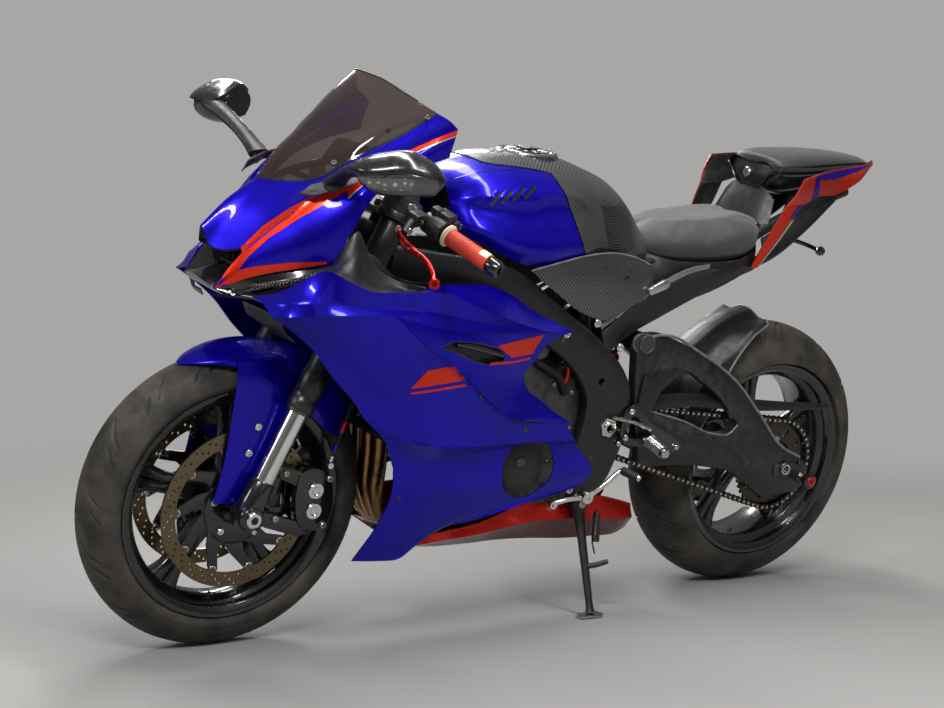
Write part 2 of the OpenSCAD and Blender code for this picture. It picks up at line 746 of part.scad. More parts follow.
// ---- wheels ------------------------------------------------------------

function arc_points(centre, r, from, to, n) =
    [for (k = [0:n]) let (a = from + (to - from) * k / n)
        centre + r * [cos(a), sin(a)]];

// Profile of radius and width across the rim, with a well between bead seats
module rim_profile(width) {
    w = width / 2;
    outer = [[rim_radius, w], [rim_radius, w - 6], [rim_radius - 14, w - 9],
        [rim_radius - 14, w - 26], [rim_radius - 30, w - 32]];
    inner = [[rim_radius - 36, w - 32], [rim_radius - 20, w - 24], [rim_radius - 20, w - 5],
        [rim_radius - 8, w]];
    polygon(concat(outer, [for (p = reversed(outer)) [p.x, -p.y]],
        [for (p = reversed(inner)) [p.x, -p.y]], inner));
}

// Five forked spokes, drawn in Y and Z and made as thick as the hub is wide
module wheel_spokes(thick) {
    tip = rim_radius - 33;
    for (k = [0:4]) rotate([k * 72 + 18, 0, 0]) slab(-thick / 2, thick / 2)
        for (side = [-1, 1]) polygon([[side * 2, 30], [side * 22, 30], [side * 54, tip],
            [side * 30, tip]]);
}

module wheel_rim(at, width, hub_half, bore) {
    translate(at) difference() {
        union() {
            wheel_turn() rim_profile(width);
            rotate([0, 90, 0]) cylinder(h = 2 * hub_half, r = 40, center = true);
            wheel_spokes(30);
        }
        rotate([0, 90, 0]) cylinder(h = 4 * hub_half, r = bore, center = true);
    }
}

module tyre_profile(radius, width, rim_width) {
    half = width / 2;
    seat = rim_radius - 14;
    w = rim_width / 2;
    wall = 9;
    middle = radius - half;
    polygon(concat(
        arc_points([middle, 0], half, -86, 86, 32),
        [[rim_radius + 3, w + 3], [rim_radius + 0.5, w - 6.4], [seat + 0.1, w - 9.4],
            [seat + 0.1, w - 22], [seat + 12, w - 22]],
        arc_points([middle, 0], half - wall, 70, -70, 24),
        [[seat + 12, 22 - w], [seat + 0.1, 22 - w], [seat + 0.1, 9.4 - w],
            [rim_radius + 0.5, 6.4 - w], [rim_radius + 3, -w - 3]]));
}

module front_rim() {
    color("#131315") parked()
        wheel_rim(front_axle_at, front_rim_width, 56, front_axle_radius + running_gap);
}

module front_tyre() {
    color("#1b1b1d") parked() translate(front_axle_at) wheel_turn()
        tyre_profile(front_radius, front_width, front_rim_width);
}

module front_discs() {
    color("#8b6f4a") parked() translate(front_axle_at) both_sides()
        translate([disc_x - 2.5, 0, 0]) rotate([0, 90, 0]) difference() {
            union() {
                difference() {
                    cylinder(h = 5, r = front_disc_radius);
                    translate([0, 0, -1]) cylinder(h = 7, r = 122);
                }
                intersection() {
                    cylinder(h = 5, r = 124);
                    union() {
                        cylinder(h = 5, r = 74);
                        for (k = [0:9]) rotate([0, 0, k * 36]) translate([0, -9, 0])
                            cube([124, 18, 5]);
                    }
                }
                translate([0, 0, -7.4]) cylinder(h = 8, r = 40);
            }
            translate([0, 0, -20]) cylinder(h = 40, r = 30);
        }
}

module rear_rim() {
    color("#131315") parked()
        wheel_rim([0, 0, rear_radius], rear_rim_width, 70, rear_axle_radius + running_gap);
}

module rear_tyre() {
    color("#1b1b1d") parked() translate([0, 0, rear_radius]) wheel_turn()
        tyre_profile(rear_radius, rear_width, rear_rim_width);
}

module rear_disc() {
    color("#7d7f82") parked() translate([-104, 0, rear_radius]) rotate([0, 90, 0])
        difference() {
            union() {
                cylinder(h = 5, r = rear_disc_radius);
                cylinder(h = 33.8, r = 38);
            }
            translate([0, 0, -1]) cylinder(h = 60, r = 28);
        }
}

module rear_sprocket() {
    color("#3b3c3e") parked() translate([chain_x - 3, 0, rear_radius]) rotate([0, 90, 0])
        difference() {
            union() {
                cylinder(h = 6, r = sprocket_radius);
                translate([0, 0, 70.2 - chain_x + 3]) cylinder(h = chain_x - 73, r = 46);
            }
            translate([0, 0, -80]) cylinder(h = 120, r = 28);
        }
}

module fuel_cap() {
    color("#1c1c1f") parked() translate(cap_at) difference() {
        union() {
            cylinder(h = 12, r = cap_radius);
            translate([-9, -cap_radius - 4, 0]) cube([18, 20, 12]);
        }
        translate([0, 0, -1]) cylinder(h = 5, r = 30);
    }
}

main_frame();
subframe();
engine_block();
engine_covers();
radiator();
exhaust();
pivot_shaft();
swingarm();
rear_shock();
rear_axle();
chain();
rear_hugger();
rear_caliper();
nose_cowl();
windscreen();
headlamps();
instruments();
left_fairing();
right_fairing();
belly_pan();
mirrors();
fuel_tank();
tank_cover();
side_covers();
filler_ring();
rider_seat();
tail_fins();
tail_cover();
tail_lamp();
footrests();
foot_levers();
forks();
fork_clamps();
handlebars();
grips();
bar_controls();
hand_levers();
front_fender();
front_calipers();
front_axle();
brake_lines();
front_rim();
front_tyre();
front_discs();
rear_rim();
rear_tyre();
rear_disc();
rear_sprocket();
side_stand();
fuel_cap();
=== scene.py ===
# A sport motorcycle on its side stand: the looks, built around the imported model.
# Points are written in millimetres on an upright machine: X to its left side, -Y
# ahead, Z up, with the rear axle above Y = 0.  BIKE leans and parks them.

import json
import math

import bmesh
import bpy
import numpy as np
from mathutils import Matrix, Vector
from mathutils.bvhtree import BVHTree


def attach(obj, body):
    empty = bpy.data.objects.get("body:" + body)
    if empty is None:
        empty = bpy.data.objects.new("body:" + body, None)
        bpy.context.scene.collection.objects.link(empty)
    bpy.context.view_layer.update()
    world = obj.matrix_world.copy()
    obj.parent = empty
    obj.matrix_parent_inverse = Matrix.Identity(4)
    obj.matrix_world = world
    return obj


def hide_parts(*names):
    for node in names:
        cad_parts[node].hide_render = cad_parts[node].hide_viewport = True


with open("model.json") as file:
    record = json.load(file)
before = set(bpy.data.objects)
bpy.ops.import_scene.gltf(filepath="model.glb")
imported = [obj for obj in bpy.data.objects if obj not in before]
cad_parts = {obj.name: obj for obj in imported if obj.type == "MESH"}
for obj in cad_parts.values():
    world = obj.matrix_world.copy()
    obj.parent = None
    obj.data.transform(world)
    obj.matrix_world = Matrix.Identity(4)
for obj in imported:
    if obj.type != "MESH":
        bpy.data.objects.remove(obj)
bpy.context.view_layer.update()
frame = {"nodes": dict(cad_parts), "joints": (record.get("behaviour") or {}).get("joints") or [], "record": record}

# ---- the machine's own frame -------------------------------------------------

MOUNTS = {m["name"]: m for m in frame["record"]["mounts"]}
JOINTS = {j["name"]: j for j in frame["joints"]}
REAR_RADIUS = 315
side_axis = Vector(MOUNTS["rear_axle_bore"]["axis"])
up_axis = side_axis.cross(Vector((0, 1, 0)))
ground = Vector(MOUNTS["rear_axle_bore"]["pos_m"]) - up_axis * REAR_RADIUS / 1000
BIKE = (Matrix.Translation(ground)
        @ Matrix((side_axis, Vector((0, 1, 0)), up_axis)).transposed().to_4x4()
        @ Matrix.Scale(0.001, 4))
FRONT_AXLE = BIKE.inverted() @ Vector(MOUNTS["front_axle_bore"]["pos_m"])
REAR_AXLE = Vector((0, 0, REAR_RADIUS))
PIVOT = BIKE.inverted() @ Vector(MOUNTS["pivot_bore"]["pos_m"])
steer_up = (BIKE.inverted().to_3x3() @ Vector(JOINTS["steering"]["axis"])).normalized()
RAKE = math.atan2(steer_up.y, steer_up.z)
FRONT_RADIUS = 300
FORK_X = 105        # from the middle plane to each fork leg
STEM_BACK = 33.4    # from the fork legs' plane back to the steering stem
CHAIN_X = 106       # from the middle plane to the chain
CHAIN_PITCH = 15.875
MERGE = 0.00002     # metres within which points of one piece become one


def on_fork(x, y, z):
    """A point given beside a fork leg: z up the leg from the axle, y behind it."""
    c, s = math.cos(RAKE), math.sin(RAKE)
    return Vector((x, FRONT_AXLE.y + y * c + z * s, FRONT_AXLE.z - y * s + z * c))


# ---- curves and surfaces -----------------------------------------------------


def smooth(points, steps, breaks=()):
    """Points on a smooth curve through the given ones, turning sharply at breaks."""
    p = [np.array(q, float) for q in points]
    out = []
    for i in range(len(p) - 1):
        a, b = p[i], p[i + 1]
        before = p[i - 1] if i > 0 and i not in breaks else a - (b - a)
        after = p[i + 2] if i + 2 < len(p) and i + 1 not in breaks else b + (b - a)
        k1 = max(np.linalg.norm(b - a), 1e-6)
        k0, k2 = (max(np.linalg.norm(d), 1e-6) for d in (a - before, after - b))
        m0 = ((a - before) / k0 * k1 + (b - a) / k1 * k0) / (k0 + k1) * k1
        m1 = ((b - a) / k1 * k2 + (after - b) / k2 * k1) / (k1 + k2) * k1
        for s in range(steps):
            t = s / steps
            out.append((2 * t**3 - 3 * t**2 + 1) * a + (t**3 - 2 * t**2 + t) * m0
                       + (3 * t**2 - 2 * t**3) * b + (t**3 - t**2) * m1)
    out.append(p[-1])
    return out


def fine(rows, steps=5, row_breaks=(), column_breaks=()):
    """A dense grid, as an array, on the smooth surface through rows of points."""
    lines = [smooth(r, steps, column_breaks) for r in rows]
    columns = [smooth(c, steps, row_breaks) for c in zip(*lines)]
    return np.array(columns).transpose(1, 0, 2)


def across(rows):
    """Rows given from the centre line outwards, with the other half added."""
    return [[(-p[0], p[1], p[2]) for p in reversed(r[1:])] + list(r) for r in rows]


def skin(grid):
    """The mesh of a dense grid: vertices and faces."""
    n, m = grid.shape[:2]
    faces = [(i * m + j, i * m + j + 1, (i + 1) * m + j + 1, (i + 1) * m + j)
             for i in range(n - 1) for j in range(m - 1)]
    return [tuple(v) for v in grid.reshape(-1, 3)], faces


def sample(grid, u, v):
    """The point at row u and column v of a dense grid, both from 0 to 1."""
    n, m = grid.shape[:2]
    a, b = u * (n - 1), v * (m - 1)
    i, j = min(int(a), n - 2), min(int(b), m - 2)
    a, b = a - i, b - j
    return ((1 - a) * ((1 - b) * grid[i, j] + b * grid[i, j + 1])
            + a * ((1 - b) * grid[i + 1, j] + b * grid[i + 1, j + 1]))


def tube(points, radius, sides=12, end_radius=None, steps=1, caps=True):
    """A round bar along points."""
    path = [Vector(p) for p in (smooth(points, steps) if steps > 1 else points)]
    count = len(path)
    last = radius if end_radius is None else end_radius
    verts, faces = [], []
    normal = None
    for i, p in enumerate(path):
        way = (path[min(i + 1, count - 1)] - path[max(i - 1, 0)]).normalized()
        if normal is None:
            normal = way.orthogonal().normalized()
        normal = (normal - way * normal.dot(way)).normalized()
        other = way.cross(normal)
        r = radius + (last - radius) * i / max(count - 1, 1)
        for k in range(sides):
            a = 2 * math.pi * k / sides
            verts.append(tuple(p + normal * r * math.cos(a) + other * r * math.sin(a)))
    for i in range(count - 1):
        for k in range(sides):
            a, b = i * sides + k, i * sides + (k + 1) % sides
            faces.append((a, b, b + sides, a + sides))
    if caps:
        faces.append(tuple(reversed(range(sides))))
        faces.append(tuple(range((count - 1) * sides, count * sides)))
    return verts, faces


def lathe(profile, at, axis=(1, 0, 0), sides=32, closed=False):
    """A profile of (radius, distance along) turned about an axis through a point."""
    way = Vector(axis).normalized()
    u = way.orthogonal().normalized()
    w = way.cross(u)
    verts = [tuple(Vector(at) + way * h
                   + (u * math.cos(a) + w * math.sin(a)) * max(r, 0.01))
             for a in [2 * math.pi * k / sides for k in range(sides)]
             for r, h in profile]
    n = len(profile)
    pairs = n if closed else n - 1
    faces = [(k * n + i, k * n + (i + 1) % n,
              (k + 1) % sides * n + (i + 1) % n, (k + 1) % sides * n + i)
             for k in range(sides) for i in range(pairs)]
    return verts, faces


def stack(rings, steps=1):
    """A solid through closed rings of points, smoothed along it, with flat ends."""
    lines = [smooth(c, steps) for c in zip(*rings)]
    n, m = len(lines), len(lines[0])
    verts = [tuple(line[i]) for i in range(m) for line in lines]
    faces = [(i * n + k, i * n + (k + 1) % n, (i + 1) * n + (k + 1) % n,
              (i + 1) * n + k) for i in range(m - 1) for k in range(n)]
    faces += [tuple(range(n))[::-1], tuple((m - 1) * n + k for k in range(n))]
    return verts, faces


def prism(foot, head):
    """A solid between two outlines of as many points."""
    n = len(foot)
    faces = [tuple(range(n)), tuple(range(2 * n - 1, n - 1, -1))]
    faces += [(k, (k + 1) % n, (k + 1) % n + n, k + n) for k in range(n)]
    return foot + head, faces


def plate(outline, low, high):
    """An outline in Y and Z, made solid between two values of X."""
    return prism(*([(x, y, z) for y, z in outline] for x in (low, high)))


def rounded(outline, radius, steps=4):
    """A flat outline with its corners rounded."""
    out = []
    n = len(outline)
    for k in range(n):
        before, here, after = (Vector(outline[(k + d) % n]) for d in (-1, 0, 1))
        r = min(radius, (before - here).length * 0.45, (after - here).length * 0.45)
        a = here + (before - here).normalized() * r
        b = here + (after - here).normalized() * r
        for s in range(steps + 1):
            t = s / steps
            out.append(tuple(a * (1 - t)**2 + here * 2 * t * (1 - t) + b * t * t))
    return out


def block(centre, size, turn=(0, 0, 0)):
    """A box about a centre, turned by angles in degrees."""
    m = Matrix.Translation(centre)
    for axis, angle in zip("XYZ", turn):
        m = m @ Matrix.Rotation(math.radians(angle), 4, axis)
    verts, faces = plate([(-size[1] / 2, -size[2] / 2), (size[1] / 2, -size[2] / 2),
                          (size[1] / 2, size[2] / 2), (-size[1] / 2, size[2] / 2)],
                         -size[0] / 2, size[0] / 2)
    return [tuple(m @ Vector(v)) for v in verts], faces


def rod(at, r, half, axis=(1, 0, 0), sides=40):
    """A plain round bar that reaches as far both ways from a point."""
    return lathe([(0, -half), (r, -half), (r, half), (0, half)], at, axis, sides)


def ring_of(outer, inner, half, at, axis=(1, 0, 0), sides=36):
    """A plain collar about an axis."""
    return lathe([(inner, -half), (outer, -half), (outer, half), (inner, half)], at,
                 axis, sides, closed=True)


def bolt(at, axis, r=6, h=5):
    """A socket-headed bolt with its head's foot at a point."""
    return lathe([(0, h * 0.35), (r * 0.5, h * 0.35), (r * 0.55, h), (r * 0.86, h),
                  (r, h * 0.8), (r, 0), (0, 0)], at, axis, 18)


def join(*parts):
    """Several meshes as one."""
    verts, faces = [], []
    for v, f in parts:
        base = len(verts)
        verts += v
        faces += [tuple(i + base for i in face) for face in f]
    return verts, faces


def flipped(part):
    """The mirror image of a mesh on the machine's other side."""
    return [(-x, y, z) for x, y, z in part[0]], [tuple(reversed(f)) for f in part[1]]


def both(*parts):
    """A mesh and its mirror image."""
    whole = join(*parts)
    return join(whole, flipped(whole))


def tubes(points, *sizes, **settings):
    """A round bar along points, and another along their mirror image."""
    return join(*(tube([(s * x, y, z) for x, y, z in points], *sizes, **settings)
                  for s in (1, -1)))


def facing(part, way):
    """An open mesh with its faces turned to look along way."""
    verts, faces = part
    total = Vector((0, 0, 0))
    for f in faces:
        a, b, c = (Vector(verts[i]) for i in f[:3])
        total += (b - a).cross(c - a)
    return (verts, faces) if total.dot(Vector(way)) > 0 else (
        verts, [tuple(reversed(f)) for f in faces])


def make(name, part, material, body="root", replaces=(), thick=0.0, bevel=0.0,
         subdivide=0, angle=35, solid=True):
    """Makes a piece from a mesh in the machine's frame and fastens it to its body."""
    mesh = bpy.data.meshes.new(name)
    mesh.from_pydata([tuple(BIKE @ Vector(v)) for v in part[0]], [], part[1])
    tidy = bmesh.new()
    tidy.from_mesh(mesh)
    bmesh.ops.remove_doubles(tidy, verts=tidy.verts, dist=MERGE)
    bmesh.ops.dissolve_degenerate(tidy, edges=tidy.edges, dist=MERGE / 2)
    if solid and not thick:
        bmesh.ops.recalc_face_normals(tidy, faces=tidy.faces)
    tidy.to_mesh(mesh)
    tidy.free()
    piece = bpy.data.objects.new(name, mesh)
    bpy.context.scene.collection.objects.link(piece)
    if subdivide:
        m = piece.modifiers.new("round", "SUBSURF")
        m.levels = m.render_levels = subdivide
    if thick:
        m = piece.modifiers.new("thickness", "SOLIDIFY")
        m.thickness = abs(thick) / 1000
        m.offset = -1 if thick > 0 else 1
        m.thickness_clamp = 0.8
    if bevel:
        m = piece.modifiers.new("edges", "BEVEL")
        m.width = bevel / 1000
        m.segments = 2
        m.limit_method = "ANGLE"
        m.angle_limit = math.radians(40)
    settle(piece, angle)
    mesh = piece.data
    mesh.materials.clear()
    mesh.materials.append(material)
    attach(piece, body)
    if replaces:
        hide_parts(*replaces)
    return piece


def settle(piece, angle=35):
    """Applies a piece's modifiers and shades it smooth up to an angle."""
    if piece.modifiers:
        shaped = piece.evaluated_get(bpy.context.evaluated_depsgraph_get())
        piece.data = bpy.data.meshes.new_from_object(shaped)
        piece.modifiers.clear()
    piece.data.shade_smooth()
    piece.data.set_sharp_from_angle(angle=math.radians(angle))


def cut(piece, cutter_part):
    """Cuts a closed mesh, given in the machine's frame, out of a piece."""
    mesh = bpy.data.meshes.new("cutter")
    mesh.from_pydata([tuple(BIKE @ Vector(v)) for v in cutter_part[0]], [],
                     cutter_part[1])
    tidy = bmesh.new()
    tidy.from_mesh(mesh)
    bmesh.ops.recalc_face_normals(tidy, faces=tidy.faces)
    tidy.to_mesh(mesh)
    tidy.free()
    cutter = bpy.data.objects.new("cutter", mesh)
    bpy.context.scene.collection.objects.link(cutter)
    m = piece.modifiers.new("cut", "BOOLEAN")
    m.object = cutter
    m.operation = "DIFFERENCE"
    m.solver = "EXACT"
    bpy.context.view_layer.update()
    settle(piece)
    bpy.data.objects.remove(cutter)
    return piece


def laid_on(part, outline, way, lift=0.6, cell=8):
    """A flat outline, dropped along way onto a mesh and split up to follow it."""
    way = Vector(way).normalized()
    u = way.orthogonal().normalized()
    w = way.cross(u)
    tree = BVHTree.FromPolygons([Vector(v) for v in part[0]], part[1])
    flat = [(Vector(p).dot(u), Vector(p).dot(w)) for p in outline]
    sheet = bmesh.new()
    sheet.faces.new([sheet.verts.new((a, b, 0)) for a, b in flat])
    for axis in (0, 1):
        values = [p[axis] for p in flat]
        line = math.ceil(min(values) / cell) * cell
        while line < max(values):
            at = [0, 0, 0]
            at[axis] = line
            normal = [0, 0, 0]
            normal[axis] = 1
            bmesh.ops.bisect_plane(
                sheet, geom=sheet.verts[:] + sheet.edges[:] + sheet.faces[:],
                plane_co=at, plane_no=normal)
            line += cell
    verts, found = [], {}
    far = Vector(outline[0]).dot(way) + 2000
    for v in sheet.verts:
        start = u * v.co.x + w * v.co.y + way * far
        hit = tree.ray_cast(start, -way)
        if hit[0] is None:
            near = tree.find_nearest(u * v.co.x + w * v.co.y
                                     + way * Vector(outline[0]).dot(way))
            hit = (near[0], near[1])
        normal = hit[1] if hit[1].dot(way) > 0 else -hit[1]
        found[v.index] = len(verts)
        verts.append(tuple(hit[0] + normal * lift))
    sheet.verts.index_update()
    faces = [tuple(v.index for v in f.verts) for f in sheet.faces]
    sheet.free()
    return facing((verts, faces), way)


def in_side_view(outline, x=0):
    """Points of Y and Z as points in space."""
    return [(x, y, z) for y, z in outline]


# ---- materials ---------------------------------------------------------------


def linear(r, g, b):
    """A colour given in display values from 0 to 255, for a shader."""
    return tuple(v / 12.92 if v <= 0.04045 else ((v + 0.055) / 1.055)**2.4
                 for v in (r / 255, g / 255, b / 255)) + (1.0,)


class Finish:
    """A node material, built up from a Principled shader."""

    def __init__(self, name, rough=0.4, metal=0.0, coat=0.0, coat_rough=0.03,
                 sheen=0.0, specular=0.5, anisotropic=0.0):
        self.material = bpy.data.materials.new(name)
        self.material.use_nodes = True
        self.tree = self.material.node_tree
        self.tree.nodes.clear()
        self.shader = self.add("ShaderNodeBsdfPrincipled")
        self.out = self.add("ShaderNodeOutputMaterial",
                            {"Surface": self.shader.outputs[0]})
        for key, value in {"Roughness": rough, "Metallic": metal, "Coat Weight": coat,
                           "Coat Roughness": coat_rough, "Sheen Weight": sheen,
                           "Specular IOR Level": specular,
                           "Anisotropic": anisotropic}.items():
            self.shader.inputs[key].default_value = value
        self.place = self.add("ShaderNodeTexCoord").outputs["Object"]

    def add(self, kind, inputs=None, **settings):
        node = self.tree.nodes.new(kind)
        for key, value in settings.items():
            setattr(node, key, value)
        for key, value in (inputs or {}).items():
            if isinstance(value, bpy.types.NodeSocket):
                self.tree.links.new(value, node.inputs[key])
            else:
                node.inputs[key].default_value = value
        return node

    def math(self, operation, a, b=0.0, clamp=False):
        return self.add("ShaderNodeMath", {0: a, 1: b}, operation=operation,
                        use_clamp=clamp).outputs[0]

    def noise(self, scale, detail=3.0, place=None, rough=0.5):
        return self.add("ShaderNodeTexNoise",
                        {"Vector": place or self.place, "Scale": scale,
                         "Detail": detail, "Roughness": rough}).outputs["Fac"]

    def stretch(self, *factors):
        return self.add("ShaderNodeMapping",
                        {"Vector": self.place, "Scale": factors}).outputs[0]

    def span(self, value, low, high, start=0.0, end=1.0):
        return self.add("ShaderNodeMapRange", {
            "Value": value, "From Min": low, "From Max": high,
            "To Min": start, "To Max": end}).outputs[0]

    def mix(self, factor, a, b):
        return self.add("ShaderNodeMix", {0: factor, 6: a, 7: b},
                        data_type="RGBA").outputs[2]

    def colour(self, value):
        self.tree.links.new(value, self.shader.inputs["Base Color"])
        return self

    def rough(self, value):
        self.tree.links.new(value, self.shader.inputs["Roughness"])
        return self

    def bump(self, height, strength=0.3, distance=0.0004):
        self.tree.links.new(
            self.add("ShaderNodeBump", {"Height": height, "Strength": strength,
                                        "Distance": distance}).outputs[0],
            self.shader.inputs["Normal"])
        return self


def plain(name, colour, other, rough=0.4, spread=0.1, cloud=14, grain=900,
          depth=0.2, size=0.0002, worn=None, **shader):
    """Two near colours in soft patches, with a fine grain and worn edges."""
    f = Finish(name, rough=rough, **shader)
    shade = f.mix(f.span(f.noise(cloud), 0.35, 0.65), linear(*colour), linear(*other))
    if worn:
        edge = f.add("ShaderNodeNewGeometry").outputs["Pointiness"]
        rub = f.math("MULTIPLY", f.span(edge, 0.52, 0.60),
                     f.span(f.noise(60, 5.0), 0.4, 0.6), clamp=True)
        shade = f.mix(rub, shade, linear(*worn))
    f.colour(shade)
    f.rough(f.span(f.noise(cloud * 6, 5.0), 0.3, 0.7, rough - spread, rough + spread))
    f.bump(f.noise(grain, 2.0), depth, size)
    return f.material


def paint(name, colour, deep, flake=0.05, rough=0.26):
    """Clear-coated paint with a fine flake."""
    f = Finish(name, rough=rough, metal=0.62, coat=0.34, coat_rough=0.03,
               specular=0.15)
    chips = f.add("ShaderNodeTexVoronoi", {"Vector": f.place, "Scale": 1800.0})
    glint = f.span(chips.outputs["Distance"], 0.0, 0.6, 1.0, 1.0 - flake)
    tone = f.mix(f.span(f.noise(5), 0.3, 0.7), linear(*colour), linear(*deep))
    f.colour(f.add("ShaderNodeVectorMath", {0: tone, 3: glint},
                   operation="SCALE").outputs[0])
    f.rough(f.span(f.noise(25, 4.0), 0.3, 0.7, rough - 0.04, rough + 0.05))
    f.bump(f.noise(260, 1.0), 0.04, 0.0002)
    return f.material


TOW = 0.0022        # the width of one carbon tow, in metres


def weave(name):
    """Twill-woven carbon fibre under clear coat, wrapped on by the surface's facing."""
    f = Finish(name, rough=0.32, metal=0.25, coat=1.0, coat_rough=0.03)
    facing_way = f.add("ShaderNodeTexCoord").outputs["Normal"]
    n = f.add("ShaderNodeSeparateXYZ", {0: facing_way})
    p = f.add("ShaderNodeSeparateXYZ", {0: f.place})
    nx, ny, nz = (f.math("ABSOLUTE", n.outputs[k]) for k in range(3))
    along_x = f.math("GREATER_THAN", nx, f.math("MAXIMUM", ny, nz))
    along_z = f.math("GREATER_THAN", nz, f.math("MAXIMUM", nx, ny))
    x, y, z = p.outputs[:3]
    a = f.add("ShaderNodeMix", {0: along_x, 2: x, 3: y}).outputs[0]
    b = f.add("ShaderNodeMix", {0: along_z, 2: z, 3: y}).outputs[0]
    a, b = (f.math("MULTIPLY", v, 1 / TOW) for v in (a, b))
    i, j = (f.math("FLOOR", v) for v in (a, b))
    turn = f.math("FLOORED_MODULO", f.math("ADD", i, j), 4.0)
    over = f.math("LESS_THAN", turn, 1.5)
    ridge_a, ridge_b = (f.math("PINGPONG", v, 0.5) for v in (a, b))
    ridge = f.add("ShaderNodeMix", {0: over, 2: ridge_a, 3: ridge_b}).outputs[0]
    tone = f.mix(over, linear(86, 86, 88), linear(24, 24, 26))
    tone = f.mix(f.span(f.noise(9), 0.3, 0.7, 0.0, 0.35), tone, linear(34, 34, 36))
    f.colour(tone)
    f.rough(f.span(f.noise(40), 0.3, 0.7, 0.26, 0.4))
    f.bump(ridge, 0.35, 0.0004)
    return f.material


def turned(name, centre, colour, other, rings=900, rough=0.3, metal=1.0, depth=0.15,
           hot=None):
    """Metal turned or ground in rings about the axle through a point."""
    f = Finish(name, rough=rough, metal=metal, anisotropic=0.5)
    off = f.add("ShaderNodeVectorMath", {0: f.place, 1: tuple(BIKE @ Vector(centre))},
                operation="SUBTRACT").outputs[0]
    across_axis = [f.add("ShaderNodeVectorMath", {0: off, 1: tuple(way)},
                         operation="DOT_PRODUCT").outputs["Value"]
                   for way in (Vector((0, 1, 0)), up_axis)]
    radius = f.math("SQRT", f.math(
        "ADD", *(f.math("MULTIPLY", v, v) for v in across_axis)))
    lines = f.add("ShaderNodeTexNoise", {"W": radius, "Scale": rings, "Detail": 4.0},
                  noise_dimensions="1D").outputs["Fac"]
    tone = f.mix(f.span(lines, 0.3, 0.7), linear(*colour), linear(*other))
    if hot:
        tone = f.mix(f.span(f.noise(30), 0.45, 0.7), tone, linear(*hot))
    f.colour(tone)
    f.rough(f.span(lines, 0.3, 0.7, rough - 0.08, rough + 0.1))
    f.bump(lines, depth, 0.0002)
    return f.material


def tinted_metal(name):
    """Exhaust pipe steel, straw and bronze where it has run hot."""
    f = Finish(name, rough=0.3, metal=1.0)
    heat = f.noise(11, 4.0)
    tone = f.mix(f.span(heat, 0.35, 0.55), linear(120, 96, 70), linear(168, 128, 78))
    tone = f.mix(f.span(f.noise(22), 0.5, 0.75), tone, linear(92, 74, 84))
    f.colour(tone)
    f.rough(f.span(f.noise(120, 5.0), 0.3, 0.7, 0.2, 0.42))
    f.bump(f.noise(500), 0.1, 0.0002)
    return f.material


def leatherette(name):
    """The seat's vinyl: small pebbles, matt, a little dusty."""
    f = Finish(name, rough=0.62, sheen=0.25, specular=0.35)
    pebble = f.add("ShaderNodeTexVoronoi", {"Vector": f.place, "Scale": 620.0},
                   feature="SMOOTH_F1").outputs["Distance"]
    tone = f.mix(f.span(f.noise(12, 4.0), 0.3, 0.7), linear(44, 44, 47),
                 linear(60, 60, 63))
    # The pits between the pebbles are mixed darker: painted shade in the grain.
    f.colour(f.mix(f.span(pebble, 0.0, 0.7, 0.25, 0.0), tone, linear(30, 30, 32)))
    f.rough(f.span(f.noise(60), 0.3, 0.7, 0.54, 0.7))
    f.bump(pebble, 0.5, 0.0005)
    return f.material


def rubber(name, tone=(24, 24, 25), dust=(52, 50, 48), rough=0.7):
    """Tyre rubber with a bloom of dust."""
    f = Finish(name, rough=rough, specular=0.35)
    bloom = f.span(f.noise(16, 6.0), 0.35, 0.7, 0.0, 0.75)
    f.colour(f.mix(bloom, linear(*tone), linear(*dust)))
    f.rough(f.span(f.noise(90, 4.0), 0.3, 0.7, rough - 0.14, rough + 0.12))
    f.bump(f.noise(700, 4.0), 0.35, 0.0004)
    return f.material


def ribbed(name, colour, other, way, pitch=0.003, rough=0.55):
    """Moulded rubber with fine ribs across a direction."""
    f = Finish(name, rough=rough, specular=0.4)
    along = f.add("ShaderNodeVectorMath", {0: f.place, 1: way},
                  operation="DOT_PRODUCT").outputs["Value"]
    wave = f.math("PINGPONG", f.math("DIVIDE", along, pitch), 0.5)
    f.colour(f.mix(f.span(f.noise(40, 4.0), 0.3, 0.7), linear(*colour), linear(*other)))
    f.rough(f.span(f.noise(200), 0.3, 0.7, rough - 0.1, rough + 0.1))
    f.bump(wave, 0.6, 0.0012)
    return f.material


def clear(name, tint, alpha, rough=0.03):
    """A thin tinted pane that shows what is behind it."""
    f = Finish(name, rough=rough, coat=1.0, coat_rough=0.02)
    tone = f.mix(f.span(f.noise(4), 0.3, 0.7), linear(*tint),
                 linear(*(v * 0.8 for v in tint)))
    f.colour(tone)
    f.tree.links.new(f.span(f.noise(6), 0.3, 0.7, alpha - 0.04, alpha + 0.04),
                     f.shader.inputs["Alpha"])
    return f.material


def beads(name, lit, dark, pitch=0.004):
    """A lamp's face of small bright cells."""
    f = Finish(name, rough=0.12, coat=1.0, specular=0.8)
    cell = f.add("ShaderNodeTexVoronoi", {"Vector": f.place, "Scale": 1 / pitch,
                                          "Randomness": 0.15}).outputs["Distance"]
    f.colour(f.mix(f.span(cell, 0.15, 0.4), linear(*lit), linear(*dark)))
    f.rough(f.span(f.noise(80), 0.3, 0.7, 0.06, 0.2))
    f.bump(cell, 0.8, 0.001)
    return f.material


